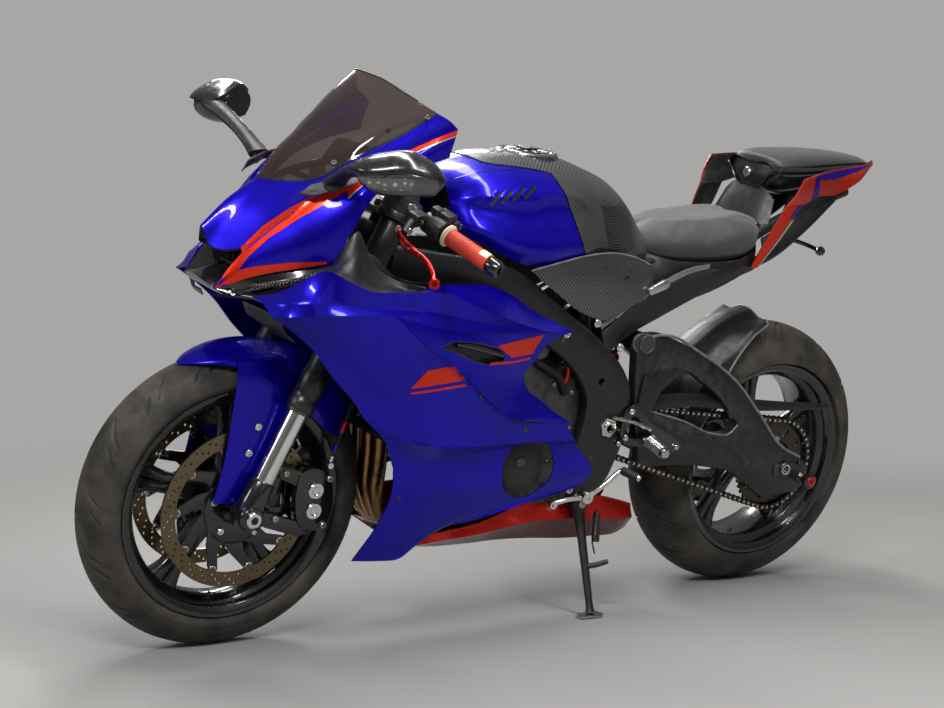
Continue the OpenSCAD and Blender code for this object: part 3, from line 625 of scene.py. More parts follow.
def finned(name, colour, deep, pitch=0.0035):
    """A radiator's core: thin fins between tubes, with painted shade in the gaps between them."""
    f = Finish(name, rough=0.5, metal=0.6)
    p = f.add("ShaderNodeSeparateXYZ", {0: f.place})
    fin = f.math("PINGPONG", f.math("DIVIDE", p.outputs[0], pitch), 0.5)
    tube_row = f.math("PINGPONG", f.math("DIVIDE", p.outputs[2], pitch * 3.2), 0.5)
    # The deep colour fills the gaps between fins and tubes: painted shade.
    lit = f.math("MULTIPLY", f.span(fin, 0.1, 0.35), f.span(tube_row, 0.05, 0.15))
    f.colour(f.mix(lit, linear(*deep), linear(*colour)))
    f.rough(f.span(f.noise(90), 0.3, 0.7, 0.4, 0.62))
    f.bump(fin, 0.8, 0.002)
    return f.material


BLUE = paint("blue_paint", (22, 4, 182), (16, 3, 156))
ORANGE = paint("orange_paint", (226, 52, 22), (206, 40, 16), 0.03)
BELLY_RED = paint("belly_red", (232, 44, 28), (214, 34, 20), 0.03)
# A darker copy of the belly red for its lower faces: painted shade.
BELLY_PAINTED_SHADE = paint("belly_painted_shade", (96, 12, 8), (80, 9, 6), 0.02)
WHITE = paint("pale_line", (226, 222, 220), (206, 204, 204), 0.02)
FRAME_BLACK = plain("frame_black", (17, 17, 18), (24, 24, 25), 0.34, worn=(58, 58, 60))
PLASTIC = plain("black_plastic", (16, 16, 17), (24, 24, 25), 0.42, 0.08, grain=1400,
                depth=0.4, worn=(52, 52, 54))
GLOSS = plain("gloss_black", (14, 14, 15), (20, 20, 21), 0.2, 0.06, coat=0.7,
              depth=0.03)
# Grey panel: a real grey finish, and also the painted highlight lines along the swingarm's and the rear hugger's
# edges.
GREY_PANEL = plain("grey_panel", (104, 104, 107), (124, 124, 127), 0.4, 0.08,
                   metal=0.4, worn=(150, 150, 152))
ENGINE = plain("engine_black", (20, 20, 21), (30, 29, 29), 0.42, 0.1, grain=500,
               depth=0.45, size=0.0004, metal=0.25, worn=(84, 82, 80))
CASTING_BLACK = plain("cover_casting", (30, 30, 30), (44, 43, 42), 0.46, 0.1, grain=420,
                      depth=0.5, size=0.0005, metal=0.2, worn=(92, 90, 86))
CASTING = plain("grey_casting", (66, 65, 65), (86, 84, 82), 0.5, 0.1, grain=420,
                depth=0.6, size=0.0005, metal=0.6, worn=(120, 118, 114))
WHEEL = plain("wheel_black", (15, 15, 16), (21, 21, 22), 0.24, 0.08, coat=0.6,
              depth=0.05, worn=(44, 44, 46))
TYRE = rubber("tyre", (35, 33, 31), (80, 75, 69))
HOSE = rubber("hose_rubber", (18, 18, 19), (34, 33, 33), 0.5)
STEEL = plain("steel", (168, 166, 162), (196, 194, 190), 0.28, 0.1, metal=1.0,
              grain=700, depth=0.12)
BRIGHT = plain("bright_steel", (212, 211, 208), (232, 231, 229), 0.14, 0.06, metal=1.0,
               grain=600, depth=0.05)
DARK_STEEL = plain("dark_steel", (78, 76, 74), (104, 101, 98), 0.36, 0.12, metal=1.0,
                   grain=500, depth=0.2)
ALUMINIUM = plain("aluminium", (176, 178, 180), (198, 199, 200), 0.32, 0.1, metal=1.0,
                  grain=300, depth=0.3, size=0.0003)
CHAIN = plain("chain_steel", (62, 58, 52), (92, 86, 76), 0.34, 0.12, metal=1.0,
              grain=800, depth=0.2)
HEADER = tinted_metal("header_steel")
SCREEN = clear("smoked_screen", (54, 38, 33), 0.7)
RED_LENS = beads("red_lens", (190, 20, 14), (86, 6, 4), 0.006)
LED = beads("led_beads", (150, 142, 146), (16, 15, 18), 0.0042)
CLEAR_LED = beads("indicator_beads", (176, 174, 172), (74, 71, 69), 0.013)
MIRROR = plain("mirror_glass", (92, 93, 95), (108, 109, 110), 0.06, 0.03, metal=1.0,
               depth=0.01)
CARBON = weave("carbon_twill")
VINYL = leatherette("seat_vinyl")
PAD_VINYL = plain("pad_vinyl", (28, 28, 29), (38, 38, 40), 0.5, 0.1, grain=700,
                  depth=0.5, size=0.0004, sheen=0.15)
GRIP = ribbed("red_rubber", (196, 62, 40), (176, 50, 32), tuple(side_axis))
RED_METAL = plain("red_anodised", (206, 24, 18), (184, 18, 12), 0.26, 0.08, metal=0.7,
                  grain=900, depth=0.06, coat=0.3)
BLUE_METAL = plain("blue_anodised", (24, 40, 190), (20, 30, 160), 0.26, 0.08, metal=0.8,
                   coat=0.3)
BLACK_RUBBER = rubber("black_rubber", (20, 20, 20), (36, 36, 36), 0.6)
BRONZE = turned("front_disc_steel", FRONT_AXLE, (128, 114, 89), (108, 94, 71))
REAR_BRONZE = turned("rear_disc_steel", REAR_AXLE, (150, 146, 140), (120, 116, 110))
SPROCKET = turned("sprocket_steel", REAR_AXLE, (60, 56, 52), (86, 80, 74))
# The radiator core's near-black gaps between its fins are painted shade.
CORE = finned("radiator_core", (74, 72, 70), (16, 16, 16))
SMOKED = plain("smoked_panel", (64, 61, 58), (82, 78, 74), 0.16, 0.04, coat=0.9,
               depth=0.02)
# Cream rubber: the real grip flanges, and also the painted highlight on top of the left grip.
CREAM = plain("cream_rubber", (222, 208, 184), (202, 186, 160), 0.55, 0.12)
LENS_BLACK = plain("display_glass", (10, 11, 12), (16, 17, 19), 0.08, 0.03, coat=1.0,
                   depth=0.02)


# ---- camera, lights and floor ------------------------------------------------

LENS_MM = 72.76
EYE = Vector((3.1935, -2.4221, 0.8753))
YAW, PITCH, ROLL = -0.96012, -0.07761, 0.01783


def camera():
    """The photo's camera, from the fit to the wheels, the discs and the floor."""
    ahead = Vector((math.sin(YAW) * math.cos(PITCH), math.cos(YAW) * math.cos(PITCH),
                    math.sin(PITCH)))
    right = ahead.cross(Vector((0, 0, 1))).normalized()
    above = right.cross(ahead)
    right, above = (right * math.cos(ROLL) + above * math.sin(ROLL),
                    above * math.cos(ROLL) - right * math.sin(ROLL))
    data = bpy.data.cameras.new("camera")
    data.lens = LENS_MM
    data.sensor_width = 36
    data.clip_start = 0.05
    data.clip_end = 60
    eye = bpy.data.objects.new("camera", data)
    bpy.context.scene.collection.objects.link(eye)
    eye.matrix_world = (Matrix.Translation(EYE)
                        @ Matrix((right, above, -ahead)).transposed().to_4x4())
    bpy.context.scene.camera = eye


def softbox(name, at, towards, size, power):
    """A rectangular lamp at a point, turned to another."""
    data = bpy.data.lights.new(name, "AREA")
    data.shape = "RECTANGLE"
    data.size, data.size_y = size
    data.energy = power
    lamp = bpy.data.objects.new(name, data)
    bpy.context.scene.collection.objects.link(lamp)
    lamp.location = at
    lamp.rotation_euler = (Vector(towards) - Vector(at)).to_track_quat(
        "-Z", "Y").to_euler()


GREY = linear(168, 167, 165)


def studio():
    """Soft lamps over the machine, and a grey backdrop that the camera sees as flat."""
    softbox("key", (2.4, -2.6, 3.1), (0, -0.2, 0.6), (1.5, 0.4), 105)
    softbox("near_strip", (1.5, 0.1, 3.1), (0.1, 0, 0.5), (0.3, 3.2), 78)
    softbox("far_strip", (-0.9, 0.2, 3.4), (0, 0, 0.4), (0.5, 3.0), 78)
    softbox("fill", (4.6, 0.4, 1.5), (0, 0, 0.5), (3.0, 1.6), 5)
    softbox("back", (-3.0, 1.2, 2.4), (0, 0, 0.6), (1.4, 0.5), 45)
    softbox("front", (-0.6, -4.2, 2.2), (0, -0.6, 0.5), (1.2, 0.7), 30)
    world = bpy.data.worlds.new("studio")
    bpy.context.scene.world = world
    world.use_nodes = True
    t = world.node_tree
    t.nodes.clear()
    path = t.nodes.new("ShaderNodeLightPath")
    seen = t.nodes.new("ShaderNodeBackground")
    seen.inputs[0].default_value = GREY
    dim = t.nodes.new("ShaderNodeBackground")
    dim.inputs[0].default_value = linear(205, 204, 203)
    where = t.nodes.new("ShaderNodeTexCoord")
    split = t.nodes.new("ShaderNodeSeparateXYZ")
    rise = t.nodes.new("ShaderNodeMapRange")
    for k, value in enumerate((-0.15, 0.75, 0.10, 0.46)):
        rise.inputs[k + 1].default_value = value
    t.links.new(where.outputs["Generated"], split.inputs[0])
    t.links.new(split.outputs[2], rise.inputs[0])
    t.links.new(rise.outputs[0], dim.inputs[1])
    choose = t.nodes.new("ShaderNodeMixShader")
    out = t.nodes.new("ShaderNodeOutputWorld")
    t.links.new(path.outputs["Is Camera Ray"], choose.inputs[0])
    t.links.new(dim.outputs[0], choose.inputs[1])
    t.links.new(seen.outputs[0], choose.inputs[2])
    t.links.new(choose.outputs[0], out.inputs[0])
    bpy.context.scene.view_settings.view_transform = "Standard"


def floor():
    """A pale floor whose far part fades into the backdrop's grey."""
    mesh = bpy.data.meshes.new("floor")
    n, half = 24, 9.0
    verts = [(half * (2 * i / n - 1), half * (2 * j / n - 1), 0)
             for i in range(n + 1) for j in range(n + 1)]
    faces = [(i * (n + 1) + j, (i + 1) * (n + 1) + j, (i + 1) * (n + 1) + j + 1,
              i * (n + 1) + j + 1) for i in range(n) for j in range(n)]
    mesh.from_pydata(verts, [], faces)
    ground_plane = bpy.data.objects.new("floor", mesh)
    bpy.context.scene.collection.objects.link(ground_plane)
    f = Finish("floor", rough=0.55, specular=0.15)
    f.colour(f.mix(f.span(f.noise(1.2), 0.3, 0.7), linear(149, 148, 146),
                   linear(143, 142, 140)))
    f.bump(f.noise(220), 0.05, 0.0003)
    glow = f.add("ShaderNodeEmission", {"Color": GREY})
    spread = f.add("ShaderNodeVectorMath", {0: f.place}, operation="LENGTH")
    fade = f.add("ShaderNodeMapRange", {
        "Value": spread.outputs["Value"], "From Min": 1.5, "From Max": 3.4},
        interpolation_type="SMOOTHSTEP").outputs[0]
    path = f.add("ShaderNodeLightPath")
    fade = f.math("MULTIPLY", fade, path.outputs["Is Camera Ray"])
    blend = f.add("ShaderNodeMixShader", {0: fade, 1: f.shader.outputs[0],
                                          2: glow.outputs[0]})
    f.tree.links.new(blend.outputs[0], f.out.inputs["Surface"])
    mesh.materials.append(f.material)


camera()
studio()
floor()


# ---- nose, screen and lamps --------------------------------------------------

TOP_EDGE = [(0, -1369, 936), (22, -1354, 937), (65, -1311, 943), (90, -1284, 955),
            (120, -1237, 996), (140, -1150, 1046), (150, -1077, 1094)]
NOSE_FOOT = [(0, -1475, 846), (22, -1465, 812), (70, -1412, 818), (115, -1334, 902),
             (140, -1244, 961), (155, -1144, 1020), (165, -1038, 1069)]
NOSE_TOP = [TOP_EDGE,
            [(0, -1425, 896), (24, -1412, 882), (70, -1366, 885), (106, -1313, 932),
             (133, -1243, 982), (150, -1149, 1036), (160, -1057, 1084)],
            NOSE_FOOT]
CREASE = [(60, -1469, 739), (80, -1417, 818), (100, -1370, 866), (120, -1320, 910),
          (133, -1270, 944), (142, -1235, 966), (150, -1180, 1000), (157, -1120, 1032),
          (165, -1038, 1069)]
CHEEK = [CREASE,
         [(64, -1470, 738), (92, -1420, 792), (126, -1360, 832), (150, -1306, 864),
          (160, -1272, 902), (168, -1246, 934), (169, -1205, 970), (169, -1133, 1010),
          (168, -1045, 1042)],
         [(64, -1466, 736), (95, -1413, 766), (140, -1335, 794), (165, -1277, 813),
          (172, -1260, 854), (180, -1242, 898), (178, -1216, 937), (172, -1139, 985),
          (165, -1050, 1013)]]


def nose():
    top = facing(skin(fine(across(NOSE_TOP), 6)), (0, -0.3, 1))
    make("nose_crown", top, BLUE, thick=3, replaces=("nose_cowl",), angle=40)
    cheek_grid = fine(CHEEK, 6)
    side = facing(skin(cheek_grid), (1, 0, 0.2))
    bridge = fine([NOSE_FOOT[2:], [CREASE[k] for k in (1, 3, 5, 7, 8)]], 8)
    bridge = facing(skin(bridge), (0.6, -0.4, 0.8))
    make("nose_cheeks", both(side), BLUE, thick=3, angle=40, solid=False)
    make("nose_bridges", both(bridge), BLUE, thick=2, solid=False)
    paint_line = [(70, -1473, 751), (83, -1466, 781), (96, -1444, 818),
                  (109, -1406, 866), (121, -1359, 903), (134, -1307, 936),
                  (147, -1263, 959), (160, -1249, 973), (160, -1230, 964),
                  (147, -1250, 946), (133, -1282, 920), (120, -1335, 884),
                  (107, -1386, 845), (93, -1420, 804), (80, -1431, 776),
                  (90, -1402, 786), (105, -1337, 797), (120, -1269, 802),
                  (120, -1268, 798), (106, -1325, 784), (91, -1386, 767),
                  (76, -1422, 749), (62, -1466, 738)]
    stripe = laid_on(join(side, bridge, top), paint_line, (0.853, -0.49, 0.182), 0.8, 7)
    make("nose_stripes", both(stripe), ORANGE, solid=False)
    depth = [0.34, 0.30, 0.27, 0.24, 0.21]
    far = np.linspace(0.56, 1.0, 24)
    reach = [float(np.interp(v * 8, range(4, 9), depth)) for v in far]
    for name, top_row, low_row, material, lift in (
            ("screen_stripes", [0.02] * len(far), reach, ORANGE, 0.7),
            ("screen_stripe_edges", [r + 0.012 for r in reach],
             [r + 0.045 for r in reach], WHITE, 0.8)):
        upper, lower = ([sample(cheek_grid, r, v) for r, v in zip(line, far)]
                        for line in (top_row, low_row))
        make(name, both(facing(stripe_between(upper, lower, 3, lift), (1, 0, 0.3))),
             material, solid=False)


def stripe_between(upper, lower, rows, lift):
    """A thin painted band between two lines of points on a surface, lifted off it."""
    grid = np.array([[np.array(a) * (1 - r / rows) + np.array(b) * r / rows
                      for a, b in zip(upper, lower)] for r in range(rows + 1)])
    verts, faces = skin(grid)
    normals = [Vector((0, 0, 0)) for _ in verts]
    for f in faces:
        a, b, c = (Vector(verts[i]) for i in f[:3])
        n = (b - a).cross(c - a)
        for i in f:
            normals[i] += n
    out = []
    for v, n in zip(verts, normals):
        n = n.normalized() if n.length else Vector((1, 0, 0))
        if n.x < 0:
            n = -n
        out.append(tuple(Vector(v) + n * lift))
    return out, faces


def intake():
    rim = [(0, -1475, 846), (22, -1465, 812), (45, -1440, 806), (70, -1412, 818)]
    outer = [(70, -1412, 818), (66, -1440, 778), (60, -1469, 739)]
    lip = [(60, -1469, 739), (30, -1481, 748), (0, -1485, 754)]
    ring = smooth(rim, 5) + smooth(outer, 4)[1:] + smooth(lip, 5)[1:]
    inner = [tuple(Vector(p) * 0.82 + Vector((0, -1395, 785)) * 0.18) for p in ring]
    deep = [tuple(Vector(p) * 0.35 + Vector((0, -1385, 785)) * 0.65) for p in ring]
    verts, faces = skin(np.array([ring, inner, deep], float))
    n = len(ring)
    faces += [(2 * n + i, 2 * n + i + 1, 3 * n) for i in range(n - 1)]
    mouth = facing((verts + [(0, -1385, 785)], faces), (0, -1, 0))
    make("intake_throat", both(mouth), GLOSS, thick=-2, solid=False)
    bars = []
    for z in (776, 800):
        reach = 50 - abs(z - 778) * 0.35
        bars.append(tube([(-reach, -1404, z), (0, -1416, z), (reach, -1404, z)], 2.4, 8,
                         steps=5))
    for x in (-36, -12, 12, 36):
        y = -1412 + abs(x) * 0.2
        bars.append(tube([(x, y, 758), (x, y + 4, 816)], 1.6, 6))
    make("intake_grille", join(*bars), PLASTIC)
    chin = fine(across([[(0, -1485, 754), (30, -1481, 748), (60, -1469, 739)],
                        [(0, -1474, 738), (32, -1470, 735), (62, -1463, 734)],
                        [(0, -1432, 730), (60, -1426, 727), (108, -1421, 728)],
                        [(0, -1330, 742), (70, -1330, 738), (140, -1330, 748)]]), 4)
    make("intake_chin", facing(skin(chin), (0, -0.4, -1)), GLOSS, thick=3, solid=False)


def headlamps():
    slit = fine([[(62, -1462, 738), (93, -1408, 764), (136, -1330, 790),
                  (160, -1276, 808)],
                 [(70, -1440, 735), (105, -1398, 745), (150, -1340, 765),
                  (190, -1296, 790)],
                 [(100, -1420, 728), (146, -1400, 744), (178, -1378, 764),
                  (218, -1320, 803)]], 6)
    make("lamp_recesses", both(facing(skin(slit), (0.3, -0.6, -0.4))), GLOSS, thick=3,
         replaces=("headlamps",), solid=False)
    row = smooth([(100, -1412, 747), (124, -1384, 758), (150, -1350, 772),
                  (172, -1316, 789)], 5)
    make("lamp_strips", both(tube(row, 7, 10, 4)), LED)


def screen():
    rows = [TOP_EDGE,
            [(0, -1335, 986), (26, -1322, 985), (68, -1282, 990), (92, -1254, 1003),
             (117, -1212, 1035), (133, -1150, 1070), (143, -1082, 1098)],
            [(0, -1286, 1033), (28, -1274, 1032), (66, -1240, 1035), (90, -1213, 1044),
             (112, -1182, 1063), (126, -1138, 1084), (134, -1089, 1102)],
            [(0, -1228, 1095), (30, -1219, 1094), (60, -1192, 1094), (84, -1168, 1096),
             (102, -1146, 1099), (115, -1122, 1103), (124, -1096, 1107)],
            [(0, -1168, 1150), (28, -1162, 1148), (54, -1146, 1142), (76, -1130, 1131),
             (94, -1117, 1122), (106, -1108, 1116), (114, -1103, 1112)]]
    grid = fine(across(rows), 6)
    pane = facing(skin(grid), (0, -0.6, 1))
    make("screen_pane", pane, SCREEN, thick=3, replaces=("windscreen",), angle=60,
         solid=False)
    make("screen_edge", tube(grid[-1], 1.8, 8), PLASTIC)
    band = skin(np.array([grid[0], grid[0] * 0.86 + grid[6] * 0.14]) + (0, -0.5, 0.8))
    make("screen_border", facing(band, (0, -0.6, 1)), GLOSS, thick=1, solid=False)
    n = Vector((0.75, -0.35, 0.55)).normalized()
    heads = [bolt(Vector(p) + n * 2, n, 5.5, 3)
             for p in ((124, -1168, 1052), (146, -1098, 1084), (96, -1262, 984))]
    make("screen_bolts", both(*heads), DARK_STEEL)


MIRROR_OUT = Vector((0.622, 0.783, 0))
MIRROR_AHEAD = Vector((0.783, -0.622, 0))
MIRROR_HEAD = [(-74, 0, 12, 14, 12), (-62, -10, 21, 36, 22), (-40, -31, 32, 50, 28),
               (-14, -37, 40, 52, 29), (14, -35, 47, 50, 29), (34, -33, 47, 46, 29),
               (54, -31, 40, 38, 29), (76, -27, 29, 28, 26), (90, -15, 16, 16, 15),
               (98, -2, 5, 4, 4)]
MIRROR_PROFILE = [(1.0, -0.15), (0.96, 0.3), (0.82, 0.62), (0.55, 0.88), (0.25, 1.0),
                  (0.14, 1.0), (0.08, 0.8), (-0.2, 0.78), (-0.55, 0.68),
                  (-0.85, 0.45), (-1.0, 0.05), (-0.97, -0.7), (-0.86, -1.0),
                  (0.0, -1.0), (0.86, -1.0), (0.97, -0.7)]
MIRROR_FRAME = [(-58, -6), (-18, 5), (35, 13), (84, 6), (88, -8), (80, -18), (52, -26),
                (13, -29), (-23, -31), (-33, -26)]
MIRROR_LAMP = [(-43, -4), (0, 2), (41, 5), (46, -4), (42, -16), (0, -21), (-36, -22)]
MIRROR_PANE = rounded([(-52, -14), (-34, 22), (4, 36), (40, 34), (78, 14), (84, 0),
                       (72, -18), (40, -26), (-24, -29)], 14)
MIRROR_FOOT = [(112, -1340, 925), (124, -1322, 946), (140, -1276, 962),
               (152, -1238, 966), (160, -1246, 957), (156, -1280, 944),
               (138, -1322, 928)]


def mirrors():
    heads, glasses, panels, lamps, stalks, feet = [], [], [], [], [], []
    for side in (1, -1):
        shift = Vector((0, 0, 0)) if side > 0 else Vector((24, -28, 30))

        def at(u, v, n):
            p = (Vector((300, -1262, 1000)) + shift + MIRROR_OUT * u + MIRROR_AHEAD * n
                 + Vector((0, 0, v)))
            return (p.x * side, p.y, p.z)

        rings = []
        for u, low, high, front, back in MIRROR_HEAD:
            ring = [at(u, (low + high) / 2 + (high - low) / 2 * v,
                       (front if n > 0 else back) * n) for v, n in MIRROR_PROFILE]
            rings.append(smooth(ring + ring[:1], 3, (5, 6, 12, 14))[:-1])
        shell = stack(rings, 4)
        heads.append(shell)
        way = MIRROR_AHEAD * Vector((side, 1, 1))
        panels.append(laid_on(shell, [at(u, v, 60) for u, v in MIRROR_FRAME], way, 0.7))
        lamps.append(laid_on(shell, [at(u, v, 60) for u, v in MIRROR_LAMP], way, 1.8))
        glasses.append(prism(*([at(u, v, n) for u, v in MIRROR_PANE]
                               for n in (-29.4, -30.6))))
        tip = Vector(at(-58, 2, -10))
        root = Vector((146 * side, -1284, 957))
        rings = []
        for t, wide, thick in ((0, 27, 12), (0.14, 22, 10), (0.4, 19, 10),
                               (0.7, 21, 12), (1.0, 25, 15), (1.12, 18, 12)):
            p = root.lerp(tip, t) + Vector((0, 0, 7 * math.sin(math.pi * min(t, 1))))
            rings.append([p + Vector((0, wide * math.cos(b), 0))
                          + Vector((-0.4 * side, 0, 0.9)) * thick * math.sin(b)
                          for b in [2 * math.pi * k / 16 for k in range(16)]])
        stalks.append(stack(rings, 4))
        pad = [(x * side, y, z) for x, y, z in MIRROR_FOOT]
        lift = Vector((0.5 * side, -0.1, 0.85)) * 5
        feet.append(prism(pad, [tuple(Vector(p) + lift) for p in pad]))
        stalks.append(lathe([(0, 10), (9, 10), (12, 7), (12.5, 0), (0, 0)],
                            (148 * side, -1290, 950), (side, -0.45, 0.1), 28))
    make("mirror_heads", join(*heads), WHEEL, replaces=("mirrors",),
         angle=32)
    make("mirror_stalks", join(*stalks), PLASTIC, angle=50)
    make("mirror_feet", join(*feet), PLASTIC, bevel=1.5)
    make("mirror_lamp_frames", join(*panels), SMOKED, thick=0.6, solid=False)
    make("mirror_indicators", join(*lamps), CLEAR_LED, thick=1.0, solid=False)
    make("mirror_glass", join(*glasses), MIRROR)


def cockpit():
    pod = block((0, -1178, 985), (112, 24, 58), (-38, 0, 0))
    make("instrument_pod", pod, PLASTIC, replaces=("instruments",), bevel=9)
    face = block((0, -1168.5, 994), (92, 3, 42), (-38, 0, 0))
    make("instrument_face", face, LENS_BLACK, bevel=3)
    ring = lathe([(17, 0), (20, 0), (20, 4), (17, 4)],
                 (0, -1166, 996), Vector((0, 0.62, 0.78)), 28, closed=True)
    make("instrument_dial", ring, DARK_STEEL)
    bracket = [tube([(x, -1330, 905), (x, -1262, 940), (x * 0.5, -1190, 968)], 7, 10,
                    steps=4) for x in (-70, 70)]
    bracket.append(tube([(-70, -1262, 940), (70, -1262, 940)], 6, 10))
    make("nose_bracket", join(*bracket), PLASTIC)
    ducts = [tube([(x, -1350, 880), (x * 1.1, -1300, 896), (x * 1.3, -1256, 905)], 15,
                  16, steps=4) for x in (-62, 62)]
    make("air_ducts", join(*ducts), BLACK_RUBBER)


nose()
intake()
headlamps()
screen()
mirrors()
cockpit()


# ---- side fairings and belly ------------------------------------------------

L0 = [(110, -1423, 730), (150, -1408, 744), (180, -1385, 762), (205, -1350, 792),
      (222, -1324, 807), (236, -1294, 795), (242, -1264, 779), (246, -1233, 772),
      (248, -1179, 772), (248, -1112, 773), (247, -1064, 761), (246, -1027, 748),
      (240, -936, 720), (236, -882, 703), (230, -800, 682), (222, -736, 680)]
L1 = [(150, -1413, 732), (190, -1399, 742), (225, -1377, 748), (240, -1301, 747),
      (246, -1218, 740), (247, -1106, 730), (246, -1034, 717), (243, -959, 703),
      (238, -881, 690), (231, -801, 680), (222, -736, 680)]
L2 = [(200, -1418, 717), (232, -1378, 724), (252, -1306, 730), (260, -1225, 732),
      (261, -1193, 730), (260, -1134, 713), (256, -1061, 698), (250, -986, 691),
      (241, -883, 684), (231, -796, 680), (222, -736, 680)]
STATIONS = [-1420, -1390, -1356, -1325, -1290, -1230, -1180, -1112, -1045, -936,
            -870, -800, -736]


def at_stations(line, stations=STATIONS):
    """Points of a smooth line at given values of Y."""
    dense = np.array(smooth(line, 8))
    return [(float(np.interp(y, dense[:, 1], dense[:, 0])),
             float(np.clip(y, dense[0, 1], dense[-1, 1])),
             float(np.interp(y, dense[:, 1], dense[:, 2]))) for y in stations]


def upper_ledge():
    return fine([at_stations(L0), at_stations(L1), at_stations(L2)], 6, row_breaks=(1,))


def panel_a():
    """The rear panel, standing a little proud of the front one at the long seam."""
    rows = [[(261, -1193, 730), (252, -1040, 696), (240, -900, 685), (222, -740, 678)],
            [(258, -1130, 683), (252, -1010, 668), (240, -905, 658), (222, -800, 650)],
            [(254, -1065, 636), (248, -980, 630), (237, -900, 624), (222, -824, 618)],
            [(249, -990, 586), (243, -940, 588), (234, -890, 590), (222, -844, 590)],
            [(243, -930, 540), (238, -895, 547), (231, -862, 555), (222, -829, 560)],
            [(238, -885, 512), (234, -855, 520), (229, -825, 530), (222, -795, 538)],
            [(232, -809, 500), (229, -788, 500), (226, -766, 501), (222, -740, 502)],
            [(226, -726, 491), (225, -716, 489), (224, -708, 487), (222, -700, 484)]]
    lift = (0, 4, 6, 7, 7, 7, 6, 3)
    rows = [[(row[0][0] + up, *row[0][1:]), (row[1][0] + up * 0.4, *row[1][1:]),
             *row[2:]] for row, up in zip(rows, lift)]
    return fine(rows, 6)


def panel_b():
    """The front panel, from the headlamp down to the crease over the belly."""
    rows = [[(200, -1418, 717), (224, -1390, 722), (240, -1345, 727), (252, -1306, 730),
             (259, -1245, 732), (261, -1193, 730)],
            [(205, -1380, 693), (222, -1350, 692), (238, -1305, 692), (248, -1260, 692),
             (256, -1200, 692), (259, -1142, 691)],
            [(208, -1325, 650), (220, -1290, 650), (234, -1245, 650), (245, -1200, 650),
             (252, -1140, 650), (256, -1085, 650)],
            [(208, -1280, 600), (218, -1240, 600), (232, -1195, 600), (243, -1145, 600),
             (249, -1075, 600), (250, -1007, 600)],
            [(210, -1230, 552), (219, -1190, 550), (231, -1145, 548), (241, -1090, 548),
             (245, -1015, 548), (244, -940, 550)],
            [(212, -1200, 514), (222, -1165, 508), (232, -1120, 505), (239, -1060, 503),
             (241, -975, 505), (238, -885, 510)],
            [(213, -1180, 497), (224, -1150, 492), (233, -1110, 488), (238, -1040, 485),
             (236, -900, 488), (228, -726, 490)],
            [(213, -1150, 471), (232, -1110, 468), (236, -1040, 458), (236, -936, 453),
             (231, -812, 452), (222, -690, 447)]]
    return fine(rows, 6, row_breaks=(6,))


def panel_c():
    """The lower panel, from the crease down to the belly, round the clutch cover."""
    rows = [[(213, -1150, 471), (232, -1110, 468), (236, -1040, 458), (236, -936, 453),
             (231, -812, 452), (222, -690, 447)],
            [(206, -1117, 408), (208, -1060, 418), (206, -980, 424), (205, -880, 431),
             (204, -780, 433), (204, -672, 432)],
            [(205, -1113, 365), (210, -1060, 368), (210, -960, 370), (208, -880, 366),
             (205, -760, 358), (202, -618, 362)],
            [(190, -1127, 290), (196, -1070, 290), (196, -980, 300), (194, -890, 310),
             (192, -780, 322), (194, -625, 342)],
            [(168, -1163, 208), (168, -1110, 203), (170, -1052, 204), (176, -1006, 250),
             (186, -885, 278), (192, -660, 331)]]
    return fine(rows, 6, row_breaks=(1,))


def flank():
    """The inner face behind the rider's hand, up to its crest."""
    outer = at_stations(L0, [-1112, -1064, -1027, -936, -882, -800, -736])
    inner = [(236, -1112, 776), (204, -1056, 774), (180, -1000, 768), (170, -919, 762),
             (170, -872, 748), (182, -800, 708), (218, -742, 683)]
    middle = [(0.5 * a[0] + 0.5 * b[0] + 7, a[1], 0.5 * a[2] + 0.5 * b[2] - 3)
              for a, b in zip(outer, inner)]
    return fine([outer, middle, inner], 6)


VENT = [(-1084, 666), (-1042, 677), (-981, 669), (-930, 655), (-908, 640), (-913, 624),
        (-949, 621), (-1000, 635), (-1039, 653)]


